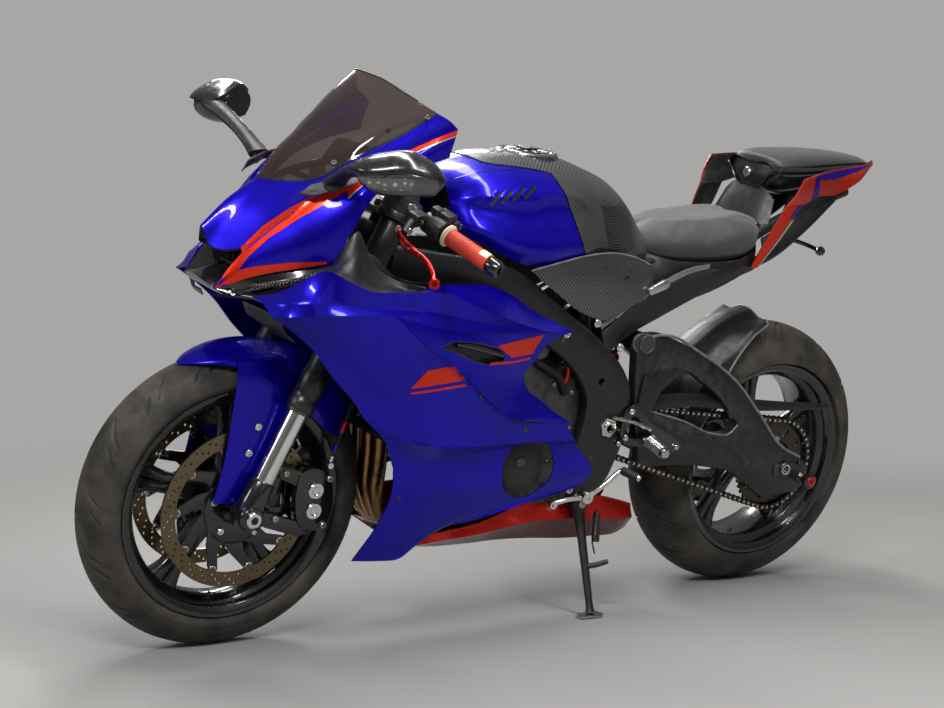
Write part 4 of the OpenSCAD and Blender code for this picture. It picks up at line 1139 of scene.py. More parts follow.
def fairings():
    ledge = facing(skin(upper_ledge()), (1, 0, 0.3))
    rear = facing(skin(panel_a()), (1, 0, 0))
    front = facing(skin(panel_b()), (1, 0, 0))
    low = facing(skin(panel_c()), (1, 0, 0))
    top = facing(skin(flank()), (0.3, 0, 1))
    vent = rounded(VENT, 12)
    hole = plate(vent, 180, 300)
    round_hole = rod((215, -789, 385), 66, 60)
    for name, on in (("left", lambda part: part), ("right", flipped)):
        make(name + "_ledge", on(ledge), BLUE, thick=3, replaces=(name + "_fairing",),
             angle=30, solid=False)
        panel = make(name + "_rear_panel", on(rear), BLUE, thick=3, solid=False)
        cut(panel, on(hole))
        make(name + "_front_panel", on(front), BLUE, thick=3, solid=False)
        lower = make(name + "_lower_panel", on(low), BLUE, thick=3, angle=30,
                     solid=False)
        cut(lower, on(round_hole))
        make(name + "_flank", on(top), BLUE, thick=3, solid=False)
    whole = join(rear, front)
    art = [laid_on(whole, in_side_view(o), (1, 0, 0), 0.7) for o in (
        [(-936, 661), (-814, 677), (-834, 637), (-891, 633)],
        [(-1126, 581), (-1098, 618), (-1043, 627), (-1006, 596)],
        [(-1122, 574), (-1006, 588), (-1000, 583), (-1122, 569)],
        [(-948, 628), (-890, 626), (-838, 630), (-840, 625), (-890, 621), (-952, 623)])]
    make("side_stripes", both(*art), ORANGE, solid=False)
    recess = laid_on(rear, in_side_view(vent), (1, 0, 0), -13)
    make("vent_recesses", both(recess), PLASTIC, solid=False, thick=1.5)
    tree = BVHTree.FromPolygons([Vector(v) for v in rear[0]], rear[1])
    face = []
    for y, z in vent + vent[:1]:
        hit = tree.ray_cast(Vector((400, y, z)), Vector((-1, 0, 0)))[0]
        face.append(hit if hit else Vector((245, y, z)))
    walls = skin(np.array([[tuple(p + Vector((0.4, 0, 0))) for p in face],
                           [tuple(p - Vector((14, 0, 0))) for p in face]]))
    make("vent_walls", both(walls), GLOSS, solid=False, thick=1.2)
    slider = smooth([(244, -1034, 668), (248, -1000, 662), (246, -960, 652),
                     (240, -918, 640)], 6)
    make("vent_bars", both(tube(slider, 7, 14, 5)), GLOSS)
    heads = [bolt(p, (1, 0, 0), 5.5, 2.5) for p in (
        (253, -1170, 704), (246, -960, 560), (214, -1190, 545), (203, -1095, 345),
        (199, -645, 372), (183, -700, 318), (224, -760, 664), (232, -830, 480))]
    make("panel_bolts", both(*heads), DARK_STEEL)


def inner_panels():
    upper = [(166, -1277, 813), (173, -1260, 850), (178, -1242, 872), (186, -1226, 846),
             (194, -1212, 815), (205, -1172, 788), (236, -1114, 776)]
    lower = [(222, -1324, 806), (232, -1300, 798), (238, -1280, 788), (242, -1262, 779),
             (246, -1230, 772), (248, -1175, 772), (248, -1112, 774)]
    middle = [((a[0] + b[0]) / 2 - 9, (a[1] + b[1]) / 2 + 4, (a[2] + b[2]) / 2 - 8)
              for a, b in zip(upper, lower)]
    make("inner_panels", both(facing(skin(fine([upper, middle, lower], 6)),
                                     (0.4, 0, 1))), PLASTIC, thick=2.5, solid=False)
    wall_top = [(166, -1277, 813), (190, -1222, 832), (196, -1160, 790),
                (186, -1080, 772), (176, -990, 764)]
    wall_low = [(150, -1290, 740), (172, -1222, 720), (180, -1150, 690),
                (182, -1070, 680), (178, -980, 690)]
    make("inner_walls", both(facing(skin(fine([wall_top, wall_low], 6)), (1, 0, 0))),
         PLASTIC, thick=2.5, solid=False)
    ducts = fine([[(104, -1428, 722), (150, -1410, 716), (196, -1394, 712)],
                  [(112, -1420, 700), (152, -1404, 690), (192, -1386, 688)],
                  [(120, -1400, 690), (150, -1380, 672), (190, -1360, 664)]], 5)
    make("duct_lips", both(facing(skin(ducts), (0, -1, -0.5))), PLASTIC, thick=3,
         solid=False)


def belly():
    keys = [(-1010, (138, 226), (140, 214), (104, 202)),
            (-950, (150, 240), (156, 226), (110, 198)),
            (-850, (148, 252), (154, 232), (106, 194)),
            (-750, (124, 268), (144, 240), (94, 190)),
            (-660, (98, 278), (124, 236), (80, 180)),
            (-560, (84, 272), (110, 226), (66, 166)),
            (-470, (74, 256), (98, 214), (60, 161)),
            (-390, (58, 232), (80, 204), (48, 158)),
            (-362, (50, 222), (62, 198), (42, 166))]
    keel = fine(across([[(0, y, low[1] - 1), (low[0] * 0.6, y, low[1]),
                         (low[0], y, low[1]), (bend[0], y, bend[1])]
                        for y, high, bend, low in keys]), 5, column_breaks=(1, 5))
    # The keel, the belly's downward faces, takes the darker red: painted shade.
    make("belly_keel", facing(skin(keel), (0, 0, -1)), BELLY_PAINTED_SHADE, thick=3, angle=24,
         solid=False)
    sides = fine([[(side[0], y, side[1]) for side in (bend, high)]
                  for y, high, bend, low in keys], 5)
    make("belly_tray", both(facing(skin(sides), (1, 0, -0.3))), BELLY_RED, thick=3,
         replaces=("belly_pan",), angle=24, solid=False)
    lip = [(high[0] - 1, y, high[1] + 1) for y, high, bend, low in keys]
    make("belly_lip", both(tube(lip, 2.4, 8, steps=4)), BELLY_RED)
    make("belly_bolts", both(bolt((106, -640, 256), (1, 0, 0.4), 6, 3),
                             bolt((88, -545, 246), (1, 0, 0.4), 6, 3)), STEEL)


fairings()
inner_panels()
belly()


# ---- tank, seat and tail ----------------------------------------------------

TANK = [(-985, [(0, 960), (40, 955), (72, 940), (96, 908), (92, 884), (72, 868)]),
        (-960, [(0, 973), (48, 968), (92, 948), (126, 902), (134, 872), (118, 852)]),
        (-930, [(0, 985), (54, 980), (104, 958), (138, 898), (148, 866), (134, 842)]),
        (-888, [(0, 996), (58, 990), (112, 964), (150, 893), (159, 850), (146, 824)]),
        (-817, [(0, 1004), (60, 998), (116, 969), (154, 892), (161, 832), (148, 800)]),
        (-760, [(0, 1005), (60, 1000), (112, 971), (148, 906), (158, 826), (149, 798)]),
        (-710, [(0, 1001), (58, 994), (106, 962), (138, 902), (148, 832), (142, 802)]),
        (-660, [(0, 992), (54, 985), (99, 950), (128, 889), (139, 834), (135, 806)]),
        (-610, [(0, 976), (50, 968), (88, 934), (110, 880), (121, 836), (116, 810)]),
        (-572, [(0, 964), (46, 955), (78, 920), (97, 866), (108, 826), (104, 806)]),
        (-535, [(0, 944), (42, 935), (71, 901), (87, 856), (99, 822), (97, 804)]),
        (-500, [(0, 918), (38, 909), (65, 880), (80, 846), (91, 816), (89, 800)]),
        (-470, [(0, 888), (34, 880), (58, 857), (73, 834), (83, 812), (81, 798)]),
        (-450, [(0, 862), (30, 857), (52, 842), (66, 826), (76, 808), (74, 797)])]
REAR_EDGE = ([0, 0.136, 0.18, 0.257, 0.386, 0.60, 1.0],
             [-902, -898, -872, -754, -738, -706, -661])


def tank_parts():
    rings = []
    for y, points in TANK:
        p = [Vector(q) for q in points]
        swell = float(np.interp(y, [-985, -930, -800, -700, -640], [0, 0.8, 1, 0.8, 0]))
        crease = p[2].lerp(p[3], 0.50) + Vector((7, 4)) * swell
        hollow = p[2].lerp(p[3], 0.86) - Vector((10, 0)) * swell
        flare = p[3].lerp(p[4], 0.45) + Vector((-2, 0)) * swell
        rings.append([(q.x, y, q.y) for q in (p[0], p[1], p[2], crease, hollow, flare,
                                              p[4] + Vector((3, 0)) * swell, p[5])])
    grid = fine(rings, 7, column_breaks=(3,))
    places = grid[:, 0, 1]

    def at(y, v):
        u = float(np.interp(y, places, np.linspace(0, 1, len(places))))
        return sample(grid, u, v)

    front, back = [], []
    for v in np.linspace(0, 1, 40):
        edge = float(np.interp(v, *REAR_EDGE))
        front.append([at(y, v) for y in np.linspace(-985, edge - 1.2, 44)])
        back.append([at(y, v) for y in np.linspace(edge + 1.2, -450, 44)])
    blue = facing(skin(np.array(front)), (0, 0, 1))
    carbon = facing(skin(np.array(back)), (0, 0, 1))
    whole = facing(skin(grid), (0, 0, 1))
    dome = make("tank_shell", both(blue), BLUE, thick=2.5,
                replaces=("fuel_tank", "tank_cover"), angle=32, solid=False)
    skirt = make("tank_carbon", both(carbon), CARBON, thick=-2.0, angle=32, solid=False)
    well = rod((0, -745, 1000), 58, 60, (0, 0, 1), 44)
    for piece in (dome, skirt):
        cut(piece, well)
    gills, gill_painted_shades = [], []
    for k in range(4):
        y = -918 + 27 * k
        z = 921 + 5 * k
        gills.append(laid_on(whole, [(120, y, z), (120, y + 7, z - 5),
                                     (120, y + 30, z + 20), (120, y + 18, z + 23)],
                              (0.794, -0.588, 0.15), 3.4))
        # Beside each gill's lower edge, a thin black sheet: painted shade under the gill.
        gill_painted_shades.append(laid_on(whole, [(120, y + 7, z - 5), (120, y + 15, z - 9),
                                      (120, y + 40, z + 17), (120, y + 30, z + 20)],
                              (0.794, -0.588, 0.15), 0.5))
    make("tank_gills", both(*gills), BLUE, thick=3, bevel=0.8, solid=False)
    # The black sheets under the gills are painted shade.
    make("tank_gill_painted_shade", both(*gill_painted_shades), GLOSS, solid=False)
    seam = [at(y, 0.22) for y in np.linspace(-965, -790, 24)]
    make("tank_seams", both(tube(seam, 0.9, 6)), GLOSS)
    tree = BVHTree.FromPolygons([Vector(v) for v in carbon[0]], carbon[1])
    grips = []
    for t in np.linspace(0, 1, 17):
        y0, y1 = -612 + 26 * t, -520 + 24 * t
        line = []
        for s in np.linspace(0, 1, 9):
            start = Vector((160, y0 + (y1 - y0) * s,
                            916 - 92 * t - 9 * s * (1 - s) * 4 + 6 * s))
            hit, normal = tree.ray_cast(start, Vector((-1, 0, -0.05)).normalized())[:2]
            if hit is not None:
                line.append(hit + (normal if normal.x > 0 else -normal))
        if len(line) > 2:
            grips.append(tube(line, 2.1, 6))
    pad = laid_on(carbon, [(0, -616, 918), (0, -566, 926), (0, -520, 922),
                           (0, -496, 832), (0, -548, 816), (0, -596, 822)],
                  (1, 0, 0.1), 1.6)
    make("knee_grips", both(pad, *grips), BLACK_RUBBER, solid=False)
    make("tank_chassis", block((0, -760, 880), (170, 330, 130)), PLASTIC, bevel=20)


def filler():
    centre = Vector((0, -745, 1001))
    ring = lathe([(49, -6), (49, 5), (52, 8), (60, 8), (64, 5), (65, -4)], centre,
                 (0, 0, 1), 56)
    make("filler_collar", ring, CARBON, replaces=("filler_ring",), solid=False,
         thick=1.5)
    cap = lathe([(0, 9), (20, 9.5), (22, 8), (30, 8), (32, 9.5), (44, 9), (47.4, 6.5),
                 (47.6, -4), (0, -4)], centre, (0, 0, 1), 56)
    make("cap_lid", cap, GLOSS, "fuel_cap", replaces=("fuel_cap",))
    heads, ribs = [], []
    for k in range(6):
        a = math.radians(60 * k + 20)
        heads.append(bolt(centre + Vector((39 * math.cos(a), 39 * math.sin(a), 8.6)),
                          (0, 0, 1), 3.6, 2.4))
        a += math.radians(30)
        ribs.append(tube([centre + Vector((24 * math.cos(a), 24 * math.sin(a), 9.4)),
                          centre + Vector((43 * math.cos(a), 43 * math.sin(a), 9.0))],
                         1.8, 8))
    make("cap_bolts", join(*heads, *ribs), STEEL, "fuel_cap")
    flap = block(centre + Vector((0, 6, 11)), (17, 30, 4))
    make("cap_key_flap", flap, DARK_STEEL, "fuel_cap", bevel=1.6)
    outer = [bolt(centre + Vector((57 * math.cos(a), 57 * math.sin(a), 8)), (0, 0, 1),
                  2.8, 1.8) for a in [math.radians(45 * k) for k in range(8)]]
    make("collar_bolts", join(*outer), STEEL)


def side_panels():
    rows = [[(158, -812, 790), (156, -740, 806), (148, -680, 816), (140, -612, 822),
             (130, -560, 818), (120, -505, 806), (112, -462, 790)],
            [(160, -775, 764), (158, -720, 768), (153, -660, 770), (147, -600, 770),
             (138, -545, 770), (127, -492, 768), (116, -455, 766)],
            [(156, -738, 742), (156, -700, 740), (152, -650, 736), (148, -600, 732),
             (140, -545, 736), (130, -495, 742), (120, -452, 744)],
            [(150, -690, 712), (150, -665, 700), (148, -630, 688), (145, -595, 680),
             (138, -540, 700), (130, -490, 714), (122, -448, 724)]]
    grid = fine(rows, 6)
    make("side_skins", both(facing(skin(grid), (1, 0, 0))), CARBON, thick=2.5,
         replaces=("side_covers",), solid=False)
    make("side_skin_edges", both(tube(grid[0], 1.8, 8)), GREY_PANEL)
    make("side_skin_screws", both(bolt((139, -547, 768), (1, 0, 0.1), 6, 2.5)), GLOSS)
    rail = fine([[(140, -600, 668), (128, -520, 712), (122, -440, 752),
                  (124, -360, 786), (120, -300, 794)],
                 [(142, -596, 660), (131, -516, 703), (126, -436, 742),
                  (126, -356, 775), (121, -300, 784)]], 6)
    make("seat_rails", both(facing(skin(rail), (1, 0, 0))), GREY_PANEL, thick=3,
         solid=False)
    under = fine([[(138, -590, 650), (130, -516, 700), (125, -436, 739),
                   (126, -350, 774), (122, -240, 784), (116, -160, 786)],
                  [(128, -560, 600), (122, -500, 640), (118, -420, 676),
                   (117, -340, 712), (114, -240, 752), (110, -165, 776)]], 6)
    make("tail_skins", both(facing(skin(under), (1, 0, 0))), PLASTIC, thick=3,
         solid=False)
    catch = plate(rounded([(-478, 742), (-430, 764), (-418, 756), (-424, 744),
                           (-470, 728)], 6), 126, 136)
    make("seat_latches", both(catch), ALUMINIUM, bevel=1.5)


SEAT = [(-462, 46, 850, 814), (-440, 72, 857, 800), (-405, 96, 866, 792),
        (-355, 116, 872, 790), (-295, 125, 877, 792), (-235, 126, 883, 796),
        (-185, 118, 889, 802), (-150, 102, 893, 814), (-128, 80, 893, 836)]


def cushion(sections, dish=4.0):
    """A closed seat shape: a crowned top, rolled sides and a flat foot."""
    rings = []
    for y, w, top, foot in sections:
        half = [(0, top - dish), (w * 0.45, top - dish * 0.4), (w * 0.78, top - 4),
                (w * 0.96, top - 20), (w, top - 38), (w * 0.97, (top + foot) / 2 - 14),
                (w * 0.90, foot), (w * 0.5, foot), (0, foot)]
        rings.append([(x, y, z) for x, z in
                      half + [(-x, z) for x, z in reversed(half[1:-1])]])
    return stack(rings)


CLOTH_FRAMES = 15


def puff(piece, voxel, cap):
    """Swells a cushion with simulated cloth, and keeps every point near its start."""
    m = piece.modifiers.new("remesh", "REMESH")
    m.mode = "VOXEL"
    m.voxel_size = voxel
    settle(piece)
    start = np.array([v.co for v in piece.data.vertices])
    group = piece.vertex_groups.new(name="held")
    for v in piece.data.vertices:
        down = v.normal.dot(up_axis) < -0.6
        group.add([v.index], 1.0 if down else 0.0, "REPLACE")
    cloth = piece.modifiers.new("cloth", "CLOTH")
    s = cloth.settings
    s.quality = 6
    s.mass = 0.3
    s.tension_stiffness = s.compression_stiffness = 12
    s.bending_stiffness = 2.0
    s.use_pressure = True
    s.uniform_pressure_force = 4
    s.effector_weights.gravity = 0
    s.vertex_group_mass = "held"
    cloth.collision_settings.use_collision = False
    scene = bpy.context.scene
    for f in range(CLOTH_FRAMES):
        scene.frame_set(f + 1)
    shaped = piece.evaluated_get(bpy.context.evaluated_depsgraph_get())
    end = np.array([v.co for v in shaped.data.vertices])
    scene.frame_set(1)
    piece.modifiers.clear()
    move = end - start
    far = np.linalg.norm(move, axis=1, keepdims=True)
    move *= np.minimum(1.0, cap / np.maximum(far, 1e-9))
    piece.data.vertices.foreach_set("co", (start + move).ravel())
    piece.data.update()
    m = piece.modifiers.new("smooth", "SMOOTH")
    m.iterations = 4
    m = piece.modifiers.new("round", "SUBSURF")
    m.levels = m.render_levels = 1
    settle(piece, 60)


def seat():
    body = make("rider_cushion", cushion(SEAT), VINYL, replaces=("rider_seat",),
                subdivide=2, angle=60)
    puff(body, 0.006, 0.007)
    tree = BVHTree.FromObject(body, bpy.context.evaluated_depsgraph_get())
    place = BIKE.inverted()
    lines = []
    for side in (1, -1):
        path = []
        for y, w, top, foot in SEAT[1:]:
            near = tree.find_nearest(BIKE @ Vector((side * w, y, foot + 9)))[0]
            path.append(tuple(place @ near))
        lines.append(tube(path, 1.8, 8, steps=5))
    make("seat_piping", join(*lines), BLACK_RUBBER)
    base = cushion([(y, w * 0.93, foot + 10, foot - 8) for y, w, top, foot in SEAT], 0)
    make("seat_base", base, PLASTIC, bevel=2)
    along = [-486, -440, -390, -330, -270, -210, -160]
    places, widths, _, feet = zip(*SEAT)
    top = [(0.97 * float(np.interp(y, places, widths)), y,
            float(np.interp(y, places, feet)) + 6) for y in along]
    low = [(x, y, z) for y, (x, z) in zip(along, (
        (100, 716), (102, 690), (104, 700), (106, 712), (106, 730), (104, 754),
        (100, 776)))]
    middle = [(max(a[0], b[0]) + 2, a[1], 0.5 * (a[2] + b[2]))
              for a, b in zip(top, low)]
    make("seat_valances", both(facing(skin(fine([top, middle, low], 5)), (1, 0, 0))),
         PLASTIC, thick=2.5, solid=False)


TAIL_PAD = [(-116, 70, 1020, 1000), (-96, 82, 1027, 1000), (-50, 88, 1032, 1004),
            (20, 86, 1035, 1010), (100, 72, 1036, 1014), (170, 52, 1032, 1014),
            (214, 34, 1024, 1012), (232, 24, 1019, 1010)]


def tail():
    rings = []
    for y, w, top, foot in TAIL_PAD:
        half = [(0, top), (w * 0.5, top - 1.5), (w * 0.86, top - 7), (w, foot + 3),
                (w * 0.96, foot), (w * 0.5, foot), (0, foot)]
        rings.append([(x, y + abs(x) * 0.10, z) for x, z in
                      half + [(-x, z) for x, z in reversed(half[1:-1])]])
    top = make("tail_pad", stack(rings), PAD_VINYL, replaces=("tail_cover",),
               subdivide=2, angle=60)
    shell = []
    for y, w, high, low in ((-118, 74, 1004, 952), (-80, 88, 1004, 940),
                            (0, 90, 1008, 944), (90, 76, 1013, 962),
                            (170, 54, 1013, 986), (238, 26, 1011, 998)):
        shell.append([(x, y, z) for x, z in (
            (0, high), (w * 0.92, high), (w, high - 8), (w * 0.8, (high + low) / 2),
            (w * 0.45, low), (0, low))])
    make("tail_shell", facing(skin(fine(across(shell), 4)), (0, 0, -1)), GLOSS, thick=3,
         solid=False)
    plate_grid = fine(across([[(0, -117, 1003), (45, -114, 1003), (84, -98, 1001)],
                              [(0, -122, 978), (45, -118, 978), (78, -102, 980)],
                              [(0, -116, 952), (30, -113, 952), (52, -106, 958)]]), 5)
    make("tail_front", facing(skin(plate_grid), (0, -1, 0)), PLASTIC, thick=3,
         solid=False)
    barrel = lathe([(0, 3), (3, 3), (3.4, 5), (9.5, 5), (11.5, 3.5), (11.5, -4),
                    (0, -4)], (0, -122, 979), (0, -1, 0.12), 32)
    make("tail_lock", barrel, BRIGHT)
    slot_bar = block((0, -127.6, 979.5), (1.6, 1.2, 8))
    make("tail_keyhole", slot_bar, GLOSS, bevel=0.3)
    hump = fine(across([[(0, -150, 880), (60, -146, 872), (98, -140, 846)],
                        [(0, -128, 930), (52, -126, 920), (92, -122, 880)],
                        [(0, -112, 958), (48, -110, 952), (80, -104, 930)]]), 5)
    make("tail_hump", facing(skin(hump), (0, -1, 0.3)), PLASTIC, thick=3, solid=False)
    rows = [[(96, -140, 846), (92, -90, 872), (86, 0, 915), (76, 90, 958)],
            [(112, -146, 822), (108, -90, 846), (100, 0, 892), (84, 90, 946)],
            [(116, -160, 786), (114, -120, 800), (104, -20, 860), (86, 80, 930)],
            [(60, -150, 776), (58, -100, 800), (50, 0, 856), (40, 90, 925)]]
    make("tail_sides", both(facing(skin(fine(rows, 5)), (1, 0, 0))), PLASTIC, thick=3,
         solid=False)
    fins()
    make("tail_lens", block((0, 236, 1000), (44, 14, 12)), RED_LENS,
         replaces=("tail_lamp",), bevel=3)
    stalk = tube([(0, -6, 835), (52, 54, 821), (78, 64, 815)], 5, 10, steps=4)
    lamp = lathe([(0, 16), (6, 15), (10, 9), (11, 0), (8, -8), (0, -10)], (84, 64, 815),
                 (0.5, -0.8, 0), 20)
    hanger = fine([[(-34, 60, 930), (34, 60, 930)], [(-30, 40, 880), (30, 40, 880)],
                   [(-24, 20, 822), (24, 20, 822)]], 4)
    make("plate_hanger", facing(skin(hanger), (0, 1, 0)), PLASTIC, thick=5, solid=False)
    make("rear_indicators", join(stalk, lamp), GLOSS)


FIN_TOP = [(159, -96, 992), (144, -50, 999), (128, -10, 1004), (98, 80, 1011),
           (60, 190, 1016), (26, 244, 1019)]
FIN_FOOT = [(146, -128, 925), (138, -70, 932), (130, -14, 950), (112, 48, 950),
            (98, 128, 976), (42, 222, 1004)]


def fins():
    middle = [tuple((np.array(a) + np.array(b)) / 2 + (5, 0, 0))
              for a, b in zip(FIN_TOP, FIN_FOOT)]
    wing = fine([FIN_TOP, middle, FIN_FOOT], 6)
    lead = [(146, -128, 925), (142, -143, 892), (133, -160, 845), (124, -182, 786)]
    trail = [(138, -70, 932), (134, -90, 892), (130, -116, 850), (121, -160, 785)]
    strip = fine([lead, [tuple((np.array(a) + np.array(b)) / 2 + (3, 0, 0))
                         for a, b in zip(lead, trail)], trail], 6)
    outside = join(facing(skin(wing), (1, 0, 0)), facing(skin(strip), (1, 0, 0)))
    make("tail_wings", both(outside), ORANGE, thick=2.5, replaces=("tail_fins",),
         angle=40, solid=False)
    lining = [facing(skin(np.array(g, float) - (4.5, 0, 0)), (-1, 0, 0))
              for g in (wing, strip)]
    make("tail_linings", both(*lining), PLASTIC, thick=1.5, solid=False)
    high = [sample(wing, 0.06, v) for v in np.linspace(0.26, 0.97, 30)]
    low = [sample(wing, 0.06 + 0.30 * (1 - abs(2 * t - 0.7) * 0.7), v)
           for t, v in zip(np.linspace(0, 1, 30), np.linspace(0.26, 0.97, 30))]
    band = stripe_between(high, low, 2, 0.8)
    left = [sample(wing, u, 0.20 + 0.10 * u) for u in np.linspace(0.06, 0.99, 14)]
    right = [sample(wing, u, 0.27 + 0.11 * u) for u in np.linspace(0.06, 0.99, 14)]
    slash = stripe_between(left, right, 2, 0.9)
    low_edge = [sample(strip, 0.99, v) for v in np.linspace(0.0, 0.25, 8)]
    mid_edge = [sample(strip, 0.62, v) for v in np.linspace(0.0, 0.25, 8)]
    tip = stripe_between(mid_edge, low_edge, 2, 0.8)
    make("tail_bands", both(*(facing(p, (1, 0, 0)) for p in (band, slash, tip))), BLUE,
         solid=False)
    pale = stripe_between([sample(strip, 0.80, v) for v in np.linspace(0.3, 0.95, 16)],
                          [sample(strip, 0.99, v) for v in np.linspace(0.3, 0.95, 16)],
                          2, 0.7)
    make("tail_pale_edges", both(facing(pale, (1, 0, 0))), WHITE, solid=False)


tank_parts()
filler()
side_panels()
seat()
tail()


# ---- wheels and brakes ------------------------------------------------------


def tread_depth(arc, offset, pitch, half):
    """How deep the grooves are at points of a tread, by arc length and offset."""
    s = np.linspace(0, 1, 26)
    depth = np.zeros(arc.shape)
    curves = []
    for side, start in ((1, 0.0), (-1, 0.5)):
        swell = np.sqrt(np.sin(np.pi * (0.08 + 0.86 * s)))
        curves.append((start * pitch + 66 * s - 20 * s * s,
                       side * half * (0.12 + 0.66 * s), 3.4 * swell))
        curves.append(((start + 0.42) * pitch + 34 * s,
                       side * half * (0.48 + 0.42 * s), 2.8 * swell))
    local = np.mod(arc, pitch)
    for line, aside, wide in curves:
        for shift in (-pitch, 0, pitch):
            gap = np.min((local[..., None] - line - shift)**2 * 0.9
                         + (offset[..., None] - aside)**2
                         - wide**2, axis=-1)
            depth = np.maximum(depth, np.clip(-gap / 3.2, 0, 1))
    return depth


TREAD_REACH = 84     # degrees from the crown of the tread to its edge
BEAD = 232           # the radius at which a tyre meets its rim
GROOVE_DEPTH = 3.2


def tyre(name, centre, radius, width, rim_half, body, node, grooves):
    half = width / 2
    middle = radius - half
    round_part = [(middle + half * math.cos(a), half * math.sin(a))
                  for a in np.radians(np.linspace(-TREAD_REACH, TREAD_REACH, 75))]
    wall = [(BEAD + 3, rim_half + 3), (BEAD + 0.5, rim_half - 5), (216, rim_half - 9)]
    profile = [(r, -h) for r, h in reversed(wall)] + round_part + wall
    spin = 840
    angles = np.arange(spin) * 2 * math.pi / spin
    r = np.array([p[0] for p in profile])
    h = np.array([p[1] for p in profile])
    arc_across = (np.sign(h) * half * np.radians(TREAD_REACH)
                  * np.abs(np.linspace(-1, 1, len(h))))
    arc, offset = np.meshgrid(angles * radius, arc_across, indexing="ij")
    pitch = 2 * math.pi * radius / grooves
    deep = tread_depth(arc, offset, pitch, half) * GROOVE_DEPTH
    deep[:, :6] = deep[:, -6:] = 0
    inward = np.stack([r - middle, h], 1)
    inward /= np.maximum(np.linalg.norm(inward, axis=1, keepdims=True), 1e-6)
    rr = r[None, :] - deep * inward[None, :, 0]
    hh = h[None, :] - deep * inward[None, :, 1]
    rr = rr + (np.abs(np.abs(h) - half * 0.93) < 1.0)[None, :] * 0.6
    x = centre[0] + hh
    y = centre[1] + rr * np.cos(angles)[:, None]
    z = centre[2] + rr * np.sin(angles)[:, None]
    n = len(profile)
    verts = np.stack([x, y, z], -1).reshape(-1, 3)
    faces = [(i * n + k, i * n + k + 1, (i + 1) % spin * n + k + 1,
              (i + 1) % spin * n + k) for i in range(spin) for k in range(n - 1)]
    make(name, ([tuple(v) for v in verts], faces), TYRE, body, replaces=(node,),
         angle=50)


def rim(name, centre, width, body, node, arms=5, twist=0.0):
    w = width / 2
    outer = [(BEAD, w), (BEAD, w - 6), (218, w - 9), (218, w - 24), (202, w - 34)]
    inner = [(196, w - 34), (199, w - 30), (211, w - 22), (211, w - 6), (216, w - 2),
             (225, w + 0.5), (229, w + 1.6)]
    profile = (outer + [(r, -h) for r, h in reversed(outer)]
               + [(r, -h) for r, h in reversed(inner)] + inner)
    parts = [lathe(profile, centre, (1, 0, 0), 120, closed=True)]
    for k in range(arms):
        a0 = 2 * math.pi * k / arms + math.radians(18)
        for prong in (-1, 1):
            rings = []
            for r, along, half_w, thick in ((30, 0, 15, 20), (70, 7, 14, 17),
                                            (120, 9, 12, 14), (165, 12, 13, 14),
                                            (203, 20, 20, 18)):
                a = a0 + prong * along / r + twist * (r / 200)
                c, s = math.cos(a), math.sin(a)
                ring = []
                for b in [2 * math.pi * q / 12 for q in range(12)]:
                    u = math.copysign(abs(math.cos(b))**0.6, math.cos(b)) * half_w
                    v = math.copysign(abs(math.sin(b))**0.6, math.sin(b)) * thick
                    ring.append((centre[0] + v, centre[1] + r * c - u * s,
                                 centre[2] + r * s + u * c))
                rings.append(ring)
            parts.append(stack(rings, 3))
    parts.append(lathe([(14, -54), (30, -54), (34, -48), (34, -26), (44, -20), (44, 20),
                        (34, 26), (34, 48), (30, 54), (14, 54)], centre, (1, 0, 0), 48,
                       closed=True))
    make(name, join(*parts), WHEEL, body, replaces=(node,), angle=40)


def drilled_ring(centre, x, outer, inner, thick, holes, hole_r, name, material, body,
                 node=None, waves=10):
    """A brake disc's ring with a lugged inner edge and rows of drilled holes."""
    n = 240
    verts, faces = [], []
    for k in range(n):
        a = 2 * math.pi * k / n
        lug = max(0.0, math.cos(waves * a))**6 * 9
        for r, side in ((outer, -1), (outer, 1), (inner - lug, 1), (inner - lug, -1)):
            verts.append((x + side * thick / 2, centre[1] + r * math.cos(a),
                          centre[2] + r * math.sin(a)))
    for k in range(n):
        for q in range(4):
            b = (k + 1) % n
            faces.append((k * 4 + q, k * 4 + (q + 1) % 4, b * 4 + (q + 1) % 4,
                          b * 4 + q))
    piece = make(name, (verts, faces), material, body,
                 replaces=(node,) if node else ())
    drills = []
    for k in range(holes):
        a = 2 * math.pi * (k + 0.5) / holes
        row = (0.24, 0.5, 0.76)[k % 3]
        r = inner + (outer - inner) * row
        drills.append(rod((x, centre[1] + r * math.cos(a), centre[2] + r * math.sin(a)),
                          hole_r, thick * 2, sides=10))
    cut(piece, join(*drills))
    return piece


def carrier(centre, x, reach, thick, arms=10, hub=(30, 74), wide=1.9):
    """The black spider inside a floating disc, and apart from it the bobbins."""
    parts = [lathe([(hub[0], -thick / 2), (hub[1], -thick / 2), (hub[1] - 1, thick / 2),
                    (hub[0], thick / 2)], (x, centre[1], centre[2]), (1, 0, 0), 60,
                   closed=True)]
    bobbins = []
    for k in range(arms):
        a = 2 * math.pi * k / arms
        c, s = math.cos(a), math.sin(a)
        b = a - 0.30
        cb, sb = math.cos(b), math.sin(b)
        outline = [(hub[1] - 8, -11 * wide), (hub[1] + 18, -7.5 * wide),
                   (reach, -6 * wide), (reach, 6 * wide), (hub[1] + 18, 7.5 * wide),
                   (hub[1] - 8, 11 * wide)]
        ring = []
        for r, w in outline:
            t = (r - hub[1]) / (reach - hub[1])
            cc, ss = cb * (1 - t) + c * t, sb * (1 - t) + s * t
            size = math.hypot(cc, ss)
            cc, ss = cc / size, ss / size
            ring.append((centre[1] + r * cc - w * ss, centre[2] + r * ss + w * cc))
        parts.append(plate(ring, x - thick / 2, x + thick / 2))
        at = (x, centre[1] + (reach + 1) * c, centre[2] + (reach + 1) * s)
        bobbins.append(lathe([(0, -3.5), (4, -3.5), (7.5, -3), (8.6, -1.5), (8.6, 1.5),
                              (7.5, 3), (4, 3.5), (3.6, 2), (0, 2)], at, (1, 0, 0), 20))
    return join(*parts), join(*bobbins)


